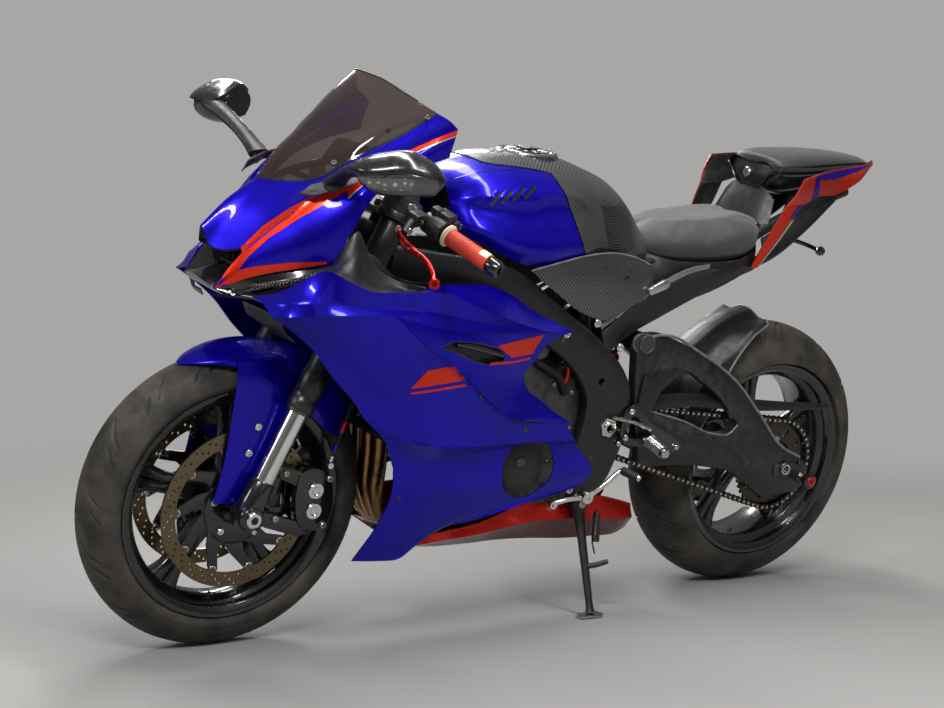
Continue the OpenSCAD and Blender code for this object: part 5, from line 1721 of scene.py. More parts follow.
def wheels():
    front = (0, FRONT_AXLE.y, FRONT_AXLE.z)
    rear = (0, 0, REAR_RADIUS)
    tyre("front_tread", front, FRONT_RADIUS, 120, 52, "front_wheel", "front_tyre", 15)
    tyre("rear_tread", rear, REAR_RADIUS, 180, 80, "rear_wheel", "rear_tyre", 13)
    rim("front_wheel_casting", front, 104, "front_wheel", "front_rim", twist=0.0)
    rim("rear_wheel_casting", rear, 160, "rear_wheel", "rear_rim", twist=0.12)
    spiders, studs = [], []
    for side, name in ((1, "left"), (-1, "right")):
        drilled_ring(front, side * 66, 160, 131, 5, 90, 2.6, name + "_front_disc",
                     BRONZE, "front_wheel", "front_discs" if side > 0 else None)
        a, b = carrier(front, side * 65, 127, 5)
        spiders.append(a)
        studs.append(b)
        for k in range(5):
            t = math.radians(72 * k + 18)
            studs.append(bolt((side * 67.5, front[1] + 54 * math.cos(t),
                               front[2] + 54 * math.sin(t)), (side, 0, 0), 7, 5))
    hub_covers = [lathe([(34, side * 46), (40, side * 50), (40, side * 62),
                         (30, side * 63), (28, side * 46)], front, (1, 0, 0), 40,
                        closed=True) for side in (1, -1)]
    make("disc_spiders", join(*spiders, *hub_covers), GLOSS, "front_wheel", bevel=0.6)
    make("disc_bobbins", join(*studs), BRIGHT, "front_wheel")
    drilled_ring(rear, -104, 110, 84, 5, 48, 2.4, "rear_disc_ring", REAR_BRONZE,
                 "rear_wheel", "rear_disc", waves=6)
    a, b = carrier(rear, -103.5, 80, 5, arms=6, hub=(34, 52), wide=1.0)
    make("rear_spider", a, GLOSS, "rear_wheel", bevel=0.6)
    make("rear_bobbins", b, BRIGHT, "rear_wheel")
    for c, w, x in ((front, "front_wheel", 26), (rear, "rear_wheel", 30)):
        stem = tube([(x - 12, c[1] - 20, c[2] - 214), (x, c[1] - 19, c[2] - 186)], 3.2,
                    8)
        make(w + "_valve", stem, BRIGHT, w)
    cog()


def toothed(y, z, teeth, root, tip, land):
    """A sprocket's outline; land is half a tooth's flat, as a share of the pitch."""
    return [(y + r * math.cos(a), z + r * math.sin(a))
            for k in range(teeth)
            for r, a in ((r, 2 * math.pi * (k + step) / teeth) for step, r in (
                (-0.30, root), (-land, tip), (land, tip), (0.30, root)))]


def cog():
    """The rear sprocket: teeth, a drilled web and its nuts."""
    web = plate(toothed(0, REAR_RADIUS, 43, 102.5, 108, 0.16), 103.2, 108.8)
    piece = make("sprocket_ring", web, SPROCKET, "rear_wheel",
                 replaces=("rear_sprocket",), bevel=0.4)
    holes = [rod((CHAIN_X, 0, REAR_RADIUS), 56, 20, sides=44)]
    for k in range(10):
        a = 2 * math.pi * k / 10
        holes.append(rod((CHAIN_X, 78 * math.cos(a), REAR_RADIUS + 78 * math.sin(a)),
                         9 if k % 2 else 12, 20, sides=24))
    cut(piece, join(*holes))
    drum = lathe([(26, 84), (62, 84), (66, 90), (66, 102.8), (56, 103), (40, 110),
                  (26, 112)], (0, 0, REAR_RADIUS), (1, 0, 0), 60, closed=True)
    make("sprocket_carrier", drum, CASTING, "rear_wheel")
    nuts = []
    for k in range(5):
        a = 2 * math.pi * (k + 0.25) / 5
        nuts.append(lathe([(0, 6), (4, 6), (6.5, 5.5), (7, 0), (0, 0)],
                          (108.6, 61 * math.cos(a), REAR_RADIUS + 61 * math.sin(a)),
                          (1, 0, 0), 6))
    make("sprocket_nuts", join(*nuts), STEEL, "rear_wheel")


# ---- fork, fender and front brakes ------------------------------------------


def fork():
    legs, tubes, feet, rings, heads = [], [], [], [], []
    for x in (FORK_X, -FORK_X):
        at = on_fork(x, 0, 0)
        legs.append(lathe([(22, 226), (25, 224), (27.5, 228), (27.5, 246), (26, 249),
                           (26, 262), (27.5, 265), (27.5, 300), (25.6, 306),
                           (25.6, 398), (26.8, 402), (26.8, 640), (24, 648),
                           (0, 649)], at, steer_up, 40))
        rings.append(lathe([(22, 219), (24.6, 219), (25.4, 221), (25.4, 226),
                            (22, 226)], at, steer_up, 40, closed=True))
        tubes.append(lathe([(0, 40), (21.4, 40), (21.4, 300), (0, 300)], at, steer_up,
                           40))
        heads.append(lathe([(0, 660), (8, 660), (9, 656), (17, 656), (19, 653),
                            (20, 648), (0, 648)], at, steer_up, 6))
        feet.append(lathe([(0, 74), (23, 74), (25.6, 70), (25.6, 40), (27, 30),
                           (27, -14), (22, -27), (0, -28)], at, steer_up, 40))
        sign = 1 if x > 0 else -1
        feet.append(lathe([(0, -24), (24, -24), (26, -18), (26, 22), (22, 29), (0, 29)],
                          FRONT_AXLE + Vector((x, 0, 0)), (sign, 0, 0), 36))
    make("fork_outers", join(*legs), FRAME_BLACK, "front_end", replaces=("forks",))
    make("fork_dust_seals", join(*rings), DARK_STEEL, "front_end")
    make("fork_stanchions", join(*tubes), BRIGHT, "front_end")
    make("fork_feet", join(*feet), GLOSS, "front_end", bevel=1)
    make("fork_caps", join(*heads), BLUE_METAL, "front_end")
    spindles = [lathe([(8, 29), (15, 29), (16, 31), (16, 35), (14, 37), (8, 37)],
                      FRONT_AXLE + Vector((s * FORK_X, 0, 0)), (s, 0, 0), 32,
                      closed=True) for s in (1, -1)]
    pinch = [bolt(on_fork(s * FORK_X, 20, -22 + 14 * k) + Vector((s * 20, 0, 0)),
                  (s, 0, 0), 5, 4) for s in (1, -1) for k in (0, 1)]
    make("axle_ends", join(*spindles, *pinch), BRIGHT, "front_end",
         replaces=("front_axle",))
    make("axle_bar", ring_of(12, 8, 133, FRONT_AXLE, sides=32), STEEL, "front_end")


def fender():
    section = [(-71, -46), (-69, -24), (-54, 6), (-27, 21), (0, 27), (27, 21), (54, 6),
               (69, -24), (71, -46)]
    shape = [(66, 0.10, 0.0, 3, 0.1), (70, 0.40, 0.05, 3, 0.35),
             (76, 0.68, 0.15, 2, 0.6), (84, 0.88, 0.35, 1, 0.8),
             (93, 1.0, 0.7, 0, 0.95), (106, 1.0, 1.0, 0, 1.0),
             (118, 1.0, 1.0, 0, 1.0), (130, 0.98, 0.95, 0, 1.0),
             (141, 0.94, 0.8, 0, 1.0)]
    rows = []
    for angle, wide, drop, rise, crown in shape:
        t = math.radians(angle)
        row = []
        for x, r in section:
            reach = FRONT_RADIUS + rise + r * (crown if r > 0 else drop)
            row.append((x * wide, FRONT_AXLE.y - reach * math.cos(t),
                        FRONT_AXLE.z + reach * math.sin(t)))
        rows.append(row)
    make("fender_arch", facing(skin(fine(rows, 5)), (0, 0, 1)), BLUE, "front_end",
         thick=3, replaces=("front_fender",), angle=50, solid=False)
    blade = [[(66, -1406, 594), (68, -1384, 596), (70, -1350, 588), (70, -1306, 562)],
             [(72, -1404, 570), (75, -1376, 568), (76, -1338, 556), (74, -1288, 524)],
             [(76, -1408, 523), (80, -1374, 518), (80, -1330, 504), (77, -1282, 486)],
             [(78, -1412, 470), (83, -1376, 464), (83, -1334, 450), (79, -1296, 440)],
             [(78, -1416, 416), (83, -1384, 410), (83, -1346, 402), (79, -1314, 394)],
             [(78, -1424, 366), (82, -1392, 360), (82, -1358, 354), (79, -1332, 352)],
             [(78, -1434, 318), (80, -1408, 317), (80, -1384, 319), (79, -1362, 330)]]
    make("fender_blades", both(facing(skin(fine(blade, 6)), (1, 0, 0))), BLUE,
         "front_end", thick=2.6, angle=50, solid=False)
    tail = [[(70, -1262, 606), (71, -1216, 570), (70, -1172, 504), (69, -1148, 440)],
            [(72, -1270, 560), (73, -1234, 530), (72, -1194, 478), (70, -1166, 434)],
            [(72, -1290, 520), (73, -1256, 502), (72, -1220, 468), (71, -1192, 446)]]
    make("fender_tails", both(facing(skin(fine(tail, 6)), (1, 0, 0))), BLUE,
         "front_end", thick=2.6, angle=50, solid=False)
    heads = [bolt((84, y, z), (1, 0, 0), 7.5, 4.5)
             for y, z in ((-1357, 470), (-1372, 418))]
    make("fender_bolts", both(*heads), BRIGHT, "front_end")


def caliper_parts():
    outline = rounded([(-1262, 372), (-1236, 384), (-1204, 376), (-1184, 352),
                       (-1176, 300), (-1186, 262), (-1206, 250), (-1240, 254),
                       (-1258, 276), (-1266, 320)], 14)
    bridge = rounded([(-1202, 374), (-1182, 350), (-1174, 300), (-1184, 264),
                      (-1200, 262), (-1196, 300), (-1200, 350)], 8)
    lugs = [rounded(line, 8) for line in (
        [(-1300, 392), (-1240, 372), (-1226, 350), (-1250, 340), (-1306, 366)],
        [(-1330, 300), (-1240, 268), (-1226, 250), (-1246, 240), (-1332, 268)])]
    blocks = [plate(outline, 76, 99), plate(outline, 34, 55), plate(bridge, 50, 80),
              *(plate(lug, 80, 96) for lug in lugs)]
    caps = [lathe([(0, 3.4), (7, 3.4), (9, 5), (15.5, 5), (17, 3.4), (17, -3), (0, -3)],
                  (99, -1222, z), (1, 0, 0), 36) for z in (336, 294)]
    bolts = [bolt((96.5, y, z), (1, 0, 0), 6.5, 6) for y, z in
             ((-1292, 376), (-1306, 284), (-1192, 358), (-1196, 262))]
    make("caliper_bodies", both(*blocks), GLOSS, "front_end",
         replaces=("front_calipers",), bevel=2.4)
    make("caliper_caps", both(*caps), BRIGHT, "front_end")
    make("caliper_bolts", both(*bolts), STEEL, "front_end")


def brake_hoses():
    path = smooth([(88, -1190, 386), (92, -1174, 450), (92, -1150, 540),
                   (84, -1142, 620), (72, -1150, 660)], 8)
    union = lathe([(0, -7), (8, -7), (8, 5), (6, 8), (0, 8)], (90, -1192, 384),
                  (1, 0, 0), 20)
    make("front_hoses", tubes(path, 3.6, 10), HOSE, "front_end",
         replaces=("brake_lines",))
    make("hose_blue_ends", tubes(path[3:6], 5.2, 12), BLUE_METAL, "front_end")
    make("hose_red_ends", tubes(path[8:11], 5.0, 12), RED_METAL, "front_end")
    make("hose_unions", join(tubes(path[:3], 5.0, 12), both(union)), BRIGHT,
         "front_end")
    wire = tube([(92, -1262, 280), (96, -1246, 262), (98, -1222, 256), (97, -1198, 272),
                 (94, -1186, 296)], 1.8, 8, steps=6)
    make("sensor_wire", wire, HOSE, "front_end")


wheels()
fork()
fender()
caliper_parts()
brake_hoses()


# ---- frame, engine and exhaust ----------------------------------------------

SPAR_TOP = [(62, -1085, 818), (92, -1000, 812), (122, -900, 803), (134, -840, 788),
            (140, -790, 762), (143, -740, 728), (146, -680, 688), (148, -620, 650),
            (149, -570, 612), (149, -528, 574), (149, -500, 528), (149, -493, 480),
            (148, -495, 430), (147, -510, 370), (146, -536, 316), (145, -566, 298)]
SPAR_FOOT = [(62, -1085, 735), (92, -1000, 712), (122, -915, 700), (136, -860, 690),
             (142, -805, 668), (146, -752, 640), (149, -704, 610), (151, -664, 580),
             (151, -640, 555), (151, -622, 528), (151, -612, 500), (151, -613, 466),
             (150, -620, 424), (149, -628, 382), (148, -628, 345), (146, -612, 322)]


def frame_spars():
    top, foot = (np.array(v, float) for v in (SPAR_TOP, SPAR_FOOT))
    out = np.array([(1, 0, 0)], float)
    swell = top * 0.5 + foot * 0.5 + out * 5
    near_top = top * 0.86 + foot * 0.14 + out * 3.5
    near_foot = top * 0.14 + foot * 0.86 + out * 3.5
    inner_top, inner_foot = top - out * 24, foot - out * 24
    grid = fine([inner_top, top, near_top, swell, near_foot, foot, inner_foot,
                 (inner_top + inner_foot) / 2], 4)
    grid = np.concatenate([grid, grid[:1]], axis=0)
    mesh = skin(grid)
    n, m = grid.shape[:2]
    mesh[1].append(tuple(i * m for i in range(n - 1)))
    mesh[1].append(tuple(i * m + m - 1 for i in range(n - 1))[::-1])
    spar = make("frame_spars", both(mesh), FRAME_BLACK, replaces=("main_frame",),
                angle=42)
    cut(spar, both(rod((150, -585, 548), 9, 40, sides=28),
                   rod((140, -551, 446), 15, 60)))
    head = lathe([(30, 742), (36, 746), (37, 770), (34, 776), (34, 900), (37, 908),
                  (37, 928), (30, 932)], Vector((0, -1472, 0)), steer_up, 44,
                 closed=True)
    cheeks = []
    for side in (1, -1):
        rows = [[(20, -1146, 745), (56, -1092, 742), (64, -1080, 738)],
                [(26, -1134, 785), (60, -1088, 782), (66, -1080, 780)],
                [(20, -1112, 822), (56, -1084, 822), (64, -1076, 820)]]
        cheeks.append(skin(fine(rows, 4) * (side, 1, 1)))
    make("steering_head", head, FRAME_BLACK)
    make("head_cheeks", join(*cheeks), FRAME_BLACK, thick=6, solid=False)
    cross = [block((0, -612, 592), (236, 46, 60)),
             block((0, -578, 330), (236, 40, 34), (0, 0, 0))]
    make("frame_cross_members", join(*cross), FRAME_BLACK, bevel=8)
    heads = [bolt((151, y, z), (1, 0, 0), 9, 6) for y, z in
             ((-619, 676), (-549, 622), (-696, 655))]
    heads += [bolt((154, y, z), (1, 0, 0), 5.5, 4) for y, z in
              ((-505, 455), (-515, 408), (-516, 440))]
    nut = lathe([(9.2, 12), (13, 12), (14.5, 10.5), (15, 8), (15, 2), (19, 0), (19, -3),
                 (9.2, -3)], (152, PIVOT.y, PIVOT.z), (1, 0, 0), 36, closed=True)
    hexagon = lathe([(9.4, 9), (21, 9), (22.5, 7), (22.5, 1), (9.4, 1)],
                    (151, PIVOT.y, PIVOT.z), (1, 0, 0), 6, closed=True)
    make("frame_bolts", both(*heads, nut, hexagon), BRIGHT, replaces=("pivot_shaft",),
         angle=30)
    shaft = ring_of(12, 8.2, 156, (0, PIVOT.y, PIVOT.z), sides=28)
    make("pivot_bar", shaft, DARK_STEEL)
    plugs = lathe([(0, 5), (17, 5), (19, 6.5), (21, 5.5), (21, 0), (0, 0)],
                  (143, -487, 628), (1, 0, 0), 40)
    make("frame_plugs", both(plugs), CASTING)


def engine():
    parts = [block((0, -760, 470), (250, 300, 210)),
             block((0, -740, 335), (218, 330, 130)),
             block((0, -905, 560), (270, 130, 230), (-28, 0, 0)),
             block((0, -950, 655), (262, 130, 90), (-28, 0, 0)),
             block((0, -620, 440), (200, 110, 200)),
             block((0, -790, 255), (170, 240, 60))]
    for k in range(7):
        parts.append(block((0, -905 - 7.2 * (k - 3), 560 + 23.4 * (k - 3)),
                           (276, 138, 4), (-28, 0, 0)))
    make("engine_cases", join(*parts), ENGINE, replaces=("engine_block",), bevel=9)
    left = lathe([(0, 47), (18, 46), (36, 43), (50, 38), (58, 31), (62, 22), (64, 10),
                  (64, -20), (0, -20)], (152, -789, 385), (1, 0, 0), 64)
    boss = lathe([(0, 5), (9, 5), (11, 3), (11, -8), (0, -8)], (199, -806, 398),
                 (1, 0, 0), 6)
    make("generator_cover", join(left, boss), CASTING_BLACK,
         replaces=("engine_covers",), angle=40)
    ribs = [plate(rounded([(-700, 560), (-640, 555), (-612, 505), (-618, 430),
                           (-640, 420), (-700, 452)], 16), 96, 126),
            plate(rounded([(-700, 420), (-640, 412), (-625, 350), (-660, 318),
                           (-720, 330)], 16), 96, 122),
            plate(rounded([(-800, 590), (-708, 585), (-700, 470), (-800, 460)], 20), 96,
                  128),
            lathe([(0, 22), (16, 22), (22, 18), (26, 8), (26, -20), (0, -20)],
                  (118, -742, 618), (1, 0, 0), 32),
            lathe([(0, 18), (12, 18), (17, 12), (17, -20), (0, -20)],
                  (118, -700, 640), (1, 0, 0), 28)]
    make("engine_side_cases", both(*ribs), CASTING, bevel=4)
    pipes = [tube([(118, -760, 600), (132, -730, 580), (134, -690, 560),
                   (128, -660, 520)], 9, 14, steps=6),
             tube([(110, -820, 640), (126, -780, 655), (124, -730, 665),
                   (110, -690, 700)], 11, 14, steps=6),
             tube([(120, -640, 610), (128, -668, 585), (124, -700, 560)], 6, 12,
                  steps=5)]
    make("engine_hoses", both(*pipes), BLACK_RUBBER)
    feed = tube([(130, -664, 590), (133, -662, 566), (133, -668, 540)], 4.5, 12,
                steps=5)
    make("orange_hose", feed, ORANGE)
    right = lathe([(0, 36), (30, 36), (34, 33), (70, 30), (80, 24), (85, 14), (85, -30),
                   (0, -30)], (-134, -720, 385), (-1, 0, 0), 64)
    small = lathe([(0, 26), (30, 26), (38, 22), (45, 12), (45, -30), (0, -30)],
                  (-128, -880, 350), (-1, 0, 0), 48)
    make("clutch_covers", join(right, small), ENGINE, angle=25)
    heads = []
    for k in range(9):
        t = 2 * math.pi * k / 9
        heads.append(bolt((171, -789 + 72 * math.cos(t), 385 + 72 * math.sin(t)),
                          (1, 0, 0), 4.2, 4))
    for k in range(10):
        t = 2 * math.pi * k / 10
        heads.append(bolt((-163, -720 + 78 * math.cos(t), 385 + 78 * math.sin(t)),
                          (-1, 0, 0), 4.5, 4))
    for y, z in ((-690, 540), (-640, 520), (-632, 440), (-700, 470), (-650, 400),
                 (-640, 350), (-790, 575), (-720, 575), (-720, 630)):
        heads += [bolt((side * 126, y, z), (side, 0, 0), 4.8, 4) for side in (1, -1)]
    make("engine_bolts", join(*heads), STEEL)
    core = block((0, -1082, 560), (296, 22, 226), (10, 0, 0))
    make("radiator_fins", core, CORE, replaces=("radiator",))
    tanks = [block((s * 150, -1076, 560), (20, 28, 220), (10, 0, 0)) for s in (1, -1)]
    tanks += [block((0, -1078 + s * 20, 560 + s * 110), (296, 24, 10), (10, 0, 0))
              for s in (1, -1)]
    make("radiator_tanks", join(*tanks), FRAME_BLACK, bevel=3)
    hose = tube([(150, -1060, 660), (150, -1020, 660), (140, -980, 640),
                 (126, -950, 600)], 16, 18, steps=6)
    low_hose = tube([(-150, -1072, 470), (-146, -1030, 440), (-134, -980, 400),
                     (-120, -930, 380)], 16, 18, steps=6)
    make("radiator_hoses", join(hose, low_hose), BLACK_RUBBER)
    fan = lathe([(60, -3), (92, -3), (92, 10), (88, 10), (88, 0), (60, 0)],
                (0, -1058, 560), Vector((0, 1, 0.17)), 48, closed=True)
    make("radiator_fan", fan, PLASTIC)


def exhaust():
    pipes, collars = [], []
    for x in (-66, -22, 22, 66):
        pipes.append(tube([(x, -1000, 560), (x, -1052, 540), (x, -1064, 480),
                           (x * 0.96, -1060, 390), (x * 0.8, -1048, 290),
                           (x * 0.5, -1010, 236), (x * 0.3, -968, 218)], 17.5, 20,
                          steps=6))
        collars.append(lathe([(18, 0), (25, 0), (25, 8), (18, 8)], (x, -1004, 561),
                             (0, -1, -0.35), 24, closed=True))
    make("headers", join(*pipes), HEADER, replaces=("exhaust",))
    mid = tube([(0, -990, 222), (0, -960, 213), (0, -860, 211), (0, -760, 211),
                (-20, -690, 214), (-80, -610, 232), (-150, -548, 256)], 27, 24, steps=5)
    make("mid_pipe", join(mid, *collars), HEADER)
    can = tube([(-148, -552, 256), (-152, -535, 259), (-186, -400, 303),
                (-205, -318, 329), (-209, -303, 333)], 45, 40, steps=4)
    make("silencer", can, GLOSS, bevel=2)
    way = (Vector((-208, -300, 332)) - Vector((-150, -540, 258))).normalized()
    tip = lathe([(22, -12), (44, -12), (45.5, -6), (43, 2), (28, 6), (25, 8), (22, 6)],
                (-207, -306, 331), way, 36, closed=True)
    make("silencer_tip", tip, STEEL)
    strap = ring_of(47, 45.4, 6, (-178, -425, 296), way, 40)
    make("silencer_strap", strap, DARK_STEEL)


# ---- swingarm, chain and footrests ------------------------------------------


def swingarm():
    arm = [(-470, 440), (-486, 530), (-497, 618), (-478, 646), (-430, 648), (-308, 601),
           (-190, 532), (-104, 452), (-20, 372), (48, 340), (80, 316), (74, 270),
           (44, 256), (-50, 245), (-110, 282), (-170, 322), (-300, 344), (-440, 348)]
    arm_part = plate(rounded(arm, 26, 5), 122, 149)
    piece = make("swingarm_beams", both(arm_part), FRAME_BLACK, replaces=("swingarm",),
                 bevel=4)
    window = [(-448, 474), (-452, 548), (-424, 580), (-340, 562), (-240, 502),
              (-166, 432), (-190, 408), (-240, 410), (-330, 442)]
    cut(piece, both(plate(rounded(window, 24, 5), 90, 170)))
    axle_slot = rounded([(-24, 305), (24, 305), (24, 325), (-24, 325)], 9)
    cut(piece, both(plate(axle_slot, 90, 170)))
    # Grey lines along the arm's top edge and the window's upper edge: painted highlights.
    ribs = [tube(in_side_view(line, 149), r, 8, steps=5) for r, line in (
        (3.2, [(-470, 640), (-430, 645), (-308, 598), (-190, 529), (-104, 450),
               (-20, 370), (44, 340)]),
        (2.4, [(-440, 476), (-330, 446), (-240, 413), (-188, 411), (-168, 430)]))]
    make("swingarm_painted_highlights", both(*ribs), GREY_PANEL)
    face = [[(149.4, -462, 400), (150, -330, 392), (150, -200, 368),
             (149.4, -120, 322)],
            [(150, -458, 440), (152, -330, 420), (152, -205, 392), (150, -110, 340)]]
    make("swingarm_faces", both(facing(skin(fine(face, 5)), (1, 0, 0))), FRAME_BLACK,
         thick=1.4, solid=False)
    cross = [block((0, -394, 408), (246, 84, 70)),
             block((0, -430, 610), (246, 60, 44), (-16, 0, 0))]
    cross += [block((s * 66, -498, 440), (38, 126, 74)) for s in (1, -1)]
    cross.append(ring_of(24, 12.4, 118, (0, PIVOT.y, PIVOT.z)))
    make("swingarm_bridges", join(*cross), FRAME_BLACK, bevel=7)
    plug = lathe([(0, 4), (17, 4), (19, 5.5), (21, 4.5), (21, -8), (0, -8)],
                 (149, -472, 626), (1, 0, 0), 36)
    make("swingarm_plugs", both(plug), CASTING)
    coil = [(33 * math.cos(t), -452 + 33 * math.sin(t) * 0.94 - 0.6 * t,
             486 + 3.4 * t + 33 * math.sin(t) * 0.3) for t in np.linspace(0, 40, 200)]
    make("shock_spring", tube(coil, 5.2, 10), RED_METAL, replaces=("rear_shock",))
    body = [tube([(0, -448, 470), (0, -470, 560)], 20, 24),
            tube([(0, -470, 560), (0, -486, 650)], 26, 24)]
    make("shock_body", join(*body), DARK_STEEL)


def rear_axle_parts():
    rings = [lathe([(10.5, -1), (14, -1), (17.5, 2), (18, 6), (16, 8), (13, 8),
                    (11, 6)], (150, 0, REAR_RADIUS), (1, 0, 0), 36, closed=True),
             plate(rounded([(-34, 300), (28, 300), (28, 330), (-34, 330)], 7), 149,
                   152.5),
             bolt((150, 46, 326), (1, 0, 0), 5.5, 4)]
    bobbin = lathe([(8, -4), (15, -4), (17, 2), (11, 9), (10.5, 14), (15, 22), (18, 30),
                    (15, 32), (8, 32)], (147, 64, 288), (1, 0, 0), 32, closed=True)
    red = lathe([(3, 30), (7.8, 30), (12.5, 32.4), (11, 34), (3, 34)], (147, 64, 288),
                (1, 0, 0), 28, closed=True)
    make("axle_washers", both(*rings), DARK_STEEL, bevel=0.6)
    make("rear_axle_bar", ring_of(12.6, 9.2, 157, REAR_AXLE), BRIGHT,
         replaces=("rear_axle",))
    make("stand_bobbins", both(bobbin), GLOSS)
    make("bobbin_caps", both(red), RED_METAL)
    half = rounded([(-46, 214), (38, 206), (60, 172), (22, 148), (-52, 162)], 12)
    bridge = rounded([(-44, 178), (36, 172), (24, 150), (-50, 163)], 6)
    make("rear_caliper_body", join(plate(half, -121, -111), plate(half, -94, -84),
                                   plate(bridge, -112, -93)), GLOSS,
         replaces=("rear_caliper",), bevel=2)


def chain():
    """Pins and side plates round the two sprockets, as one loop."""
    r_rear, r_front = 105.0, 39.0
    a, b = Vector((0, REAR_RADIUS)), Vector((-640, 455))
    gap = a - b
    tilt = math.atan2(gap.y, gap.x)
    lean = math.asin((r_rear - r_front) / gap.length)
    points = []
    for k in range(61):
        t = tilt - math.pi / 2 - lean + (math.pi + 2 * lean) * k / 60
        points.append(a + Vector((math.cos(t), math.sin(t))) * r_rear)
    for k in range(31):
        t = tilt + math.pi / 2 + lean + (math.pi - 2 * lean) * k / 30
        points.append(b + Vector((math.cos(t), math.sin(t))) * r_front)
    points.append(points[0])
    lengths = [0.0]
    for p, q in zip(points, points[1:]):
        lengths.append(lengths[-1] + (q - p).length)
    total = lengths[-1]
    links = int(total / CHAIN_PITCH) // 2 * 2
    pins = [[np.interp(k * total / links, lengths, [p[axis] for p in points])
             for axis in (0, 1)] for k in range(links)]
    sides, rollers = [], []
    for k in range(links):
        p, q = Vector(pins[k]), Vector(pins[(k + 1) % links])
        way = (q - p).normalized()
        over = Vector((-way.y, way.x))
        outline = []
        for at, turn in ((q, 0), (p, math.pi)):
            for j in range(5):
                t = -math.pi / 2 + math.pi * j / 4 + turn
                outline.append(tuple(at + way * 6.6 * math.cos(t)
                                     + over * 6.6 * math.sin(t)))
            waist = 4.6 if turn == 0 else -4.6
            outline.append(tuple((p + q) / 2 + over * waist))
        near, far = (9.0, 11.4) if k % 2 else (5.6, 8.4)
        sides.append(plate(outline, CHAIN_X + near, CHAIN_X + far))
        sides.append(plate(outline, CHAIN_X - far, CHAIN_X - near))
        rollers.append(lathe([(0, -12.8), (2.6, -12.8), (2.6, -5), (4.6, -5), (4.6, 5),
                              (2.6, 5), (2.6, 12.8), (0, 12.8)], (CHAIN_X, *pins[k]),
                             (1, 0, 0), 8))
    make("chain_plates", join(*sides), CHAIN, replaces=("chain",))
    make("chain_pins", join(*rollers), BRIGHT)
    make("front_sprocket", plate(toothed(b.x, b.y, 15, 35.5, 41, 0.14), 103, 109),
         SPROCKET, bevel=0.4)


def chain_guard():
    rows = [[(131, -470, 478), (131, -420, 500), (130, -330, 506), (128, -156, 486),
             (128, 0, 470), (128, 127, 460)],
            [(137, -470, 470), (137, -420, 486), (136, -330, 492), (134, -156, 474),
             (132, 0, 460), (130, 132, 454)],
            [(137, -470, 456), (137, -420, 470), (136, -330, 476), (134, -156, 458),
             (132, 0, 450), (130, 137, 447)]]
    make("chain_guard", facing(skin(fine(rows, 5)), (1, 0, 0)), PLASTIC, thick=3,
         solid=False)


def hugger():
    section = [(-100, 250), (-92, 306), (-60, 330), (-22, 344), (0, 346), (22, 344),
               (60, 330), (92, 306), (100, 250)]
    edge = {100: 322, 108: 312, 118: 296, 130: 276}
    shield = []
    for angle, wide, lift in ((100, 0.80, 10), (108, 0.86, 8), (118, 0.93, 4),
                              (130, 0.98, 1), (142, 1.0, 0), (156, 1.0, 0),
                              (170, 0.96, 0)):
        t = math.radians(angle)
        low = edge.get(angle, 250)
        row = []
        for x, r in section:
            reach = low if abs(x) > 99 else max(r, low + 10) if abs(x) > 90 else r
            reach += lift
            row.append((x * wide, reach * math.cos(t),
                        REAR_RADIUS + reach * math.sin(t)))
        shield.append(row)
    grid = fine(shield, 4, row_breaks=(1, 3), column_breaks=(1, 2, 3, 4, 5, 6, 7))
    make("rear_shield", facing(skin(grid), (0, 0, 1)), PLASTIC, thick=3,
         replaces=("rear_hugger",), solid=False)
    # Grey lines along the hugger's side and front edges: painted highlights.
    edges = [tube(grid[:, j], 2.2, 8) for j in (0, -1)] + [tube(grid[0], 2.0, 8)]
    make("rear_shield_painted_highlights", join(*edges), GREY_PANEL)


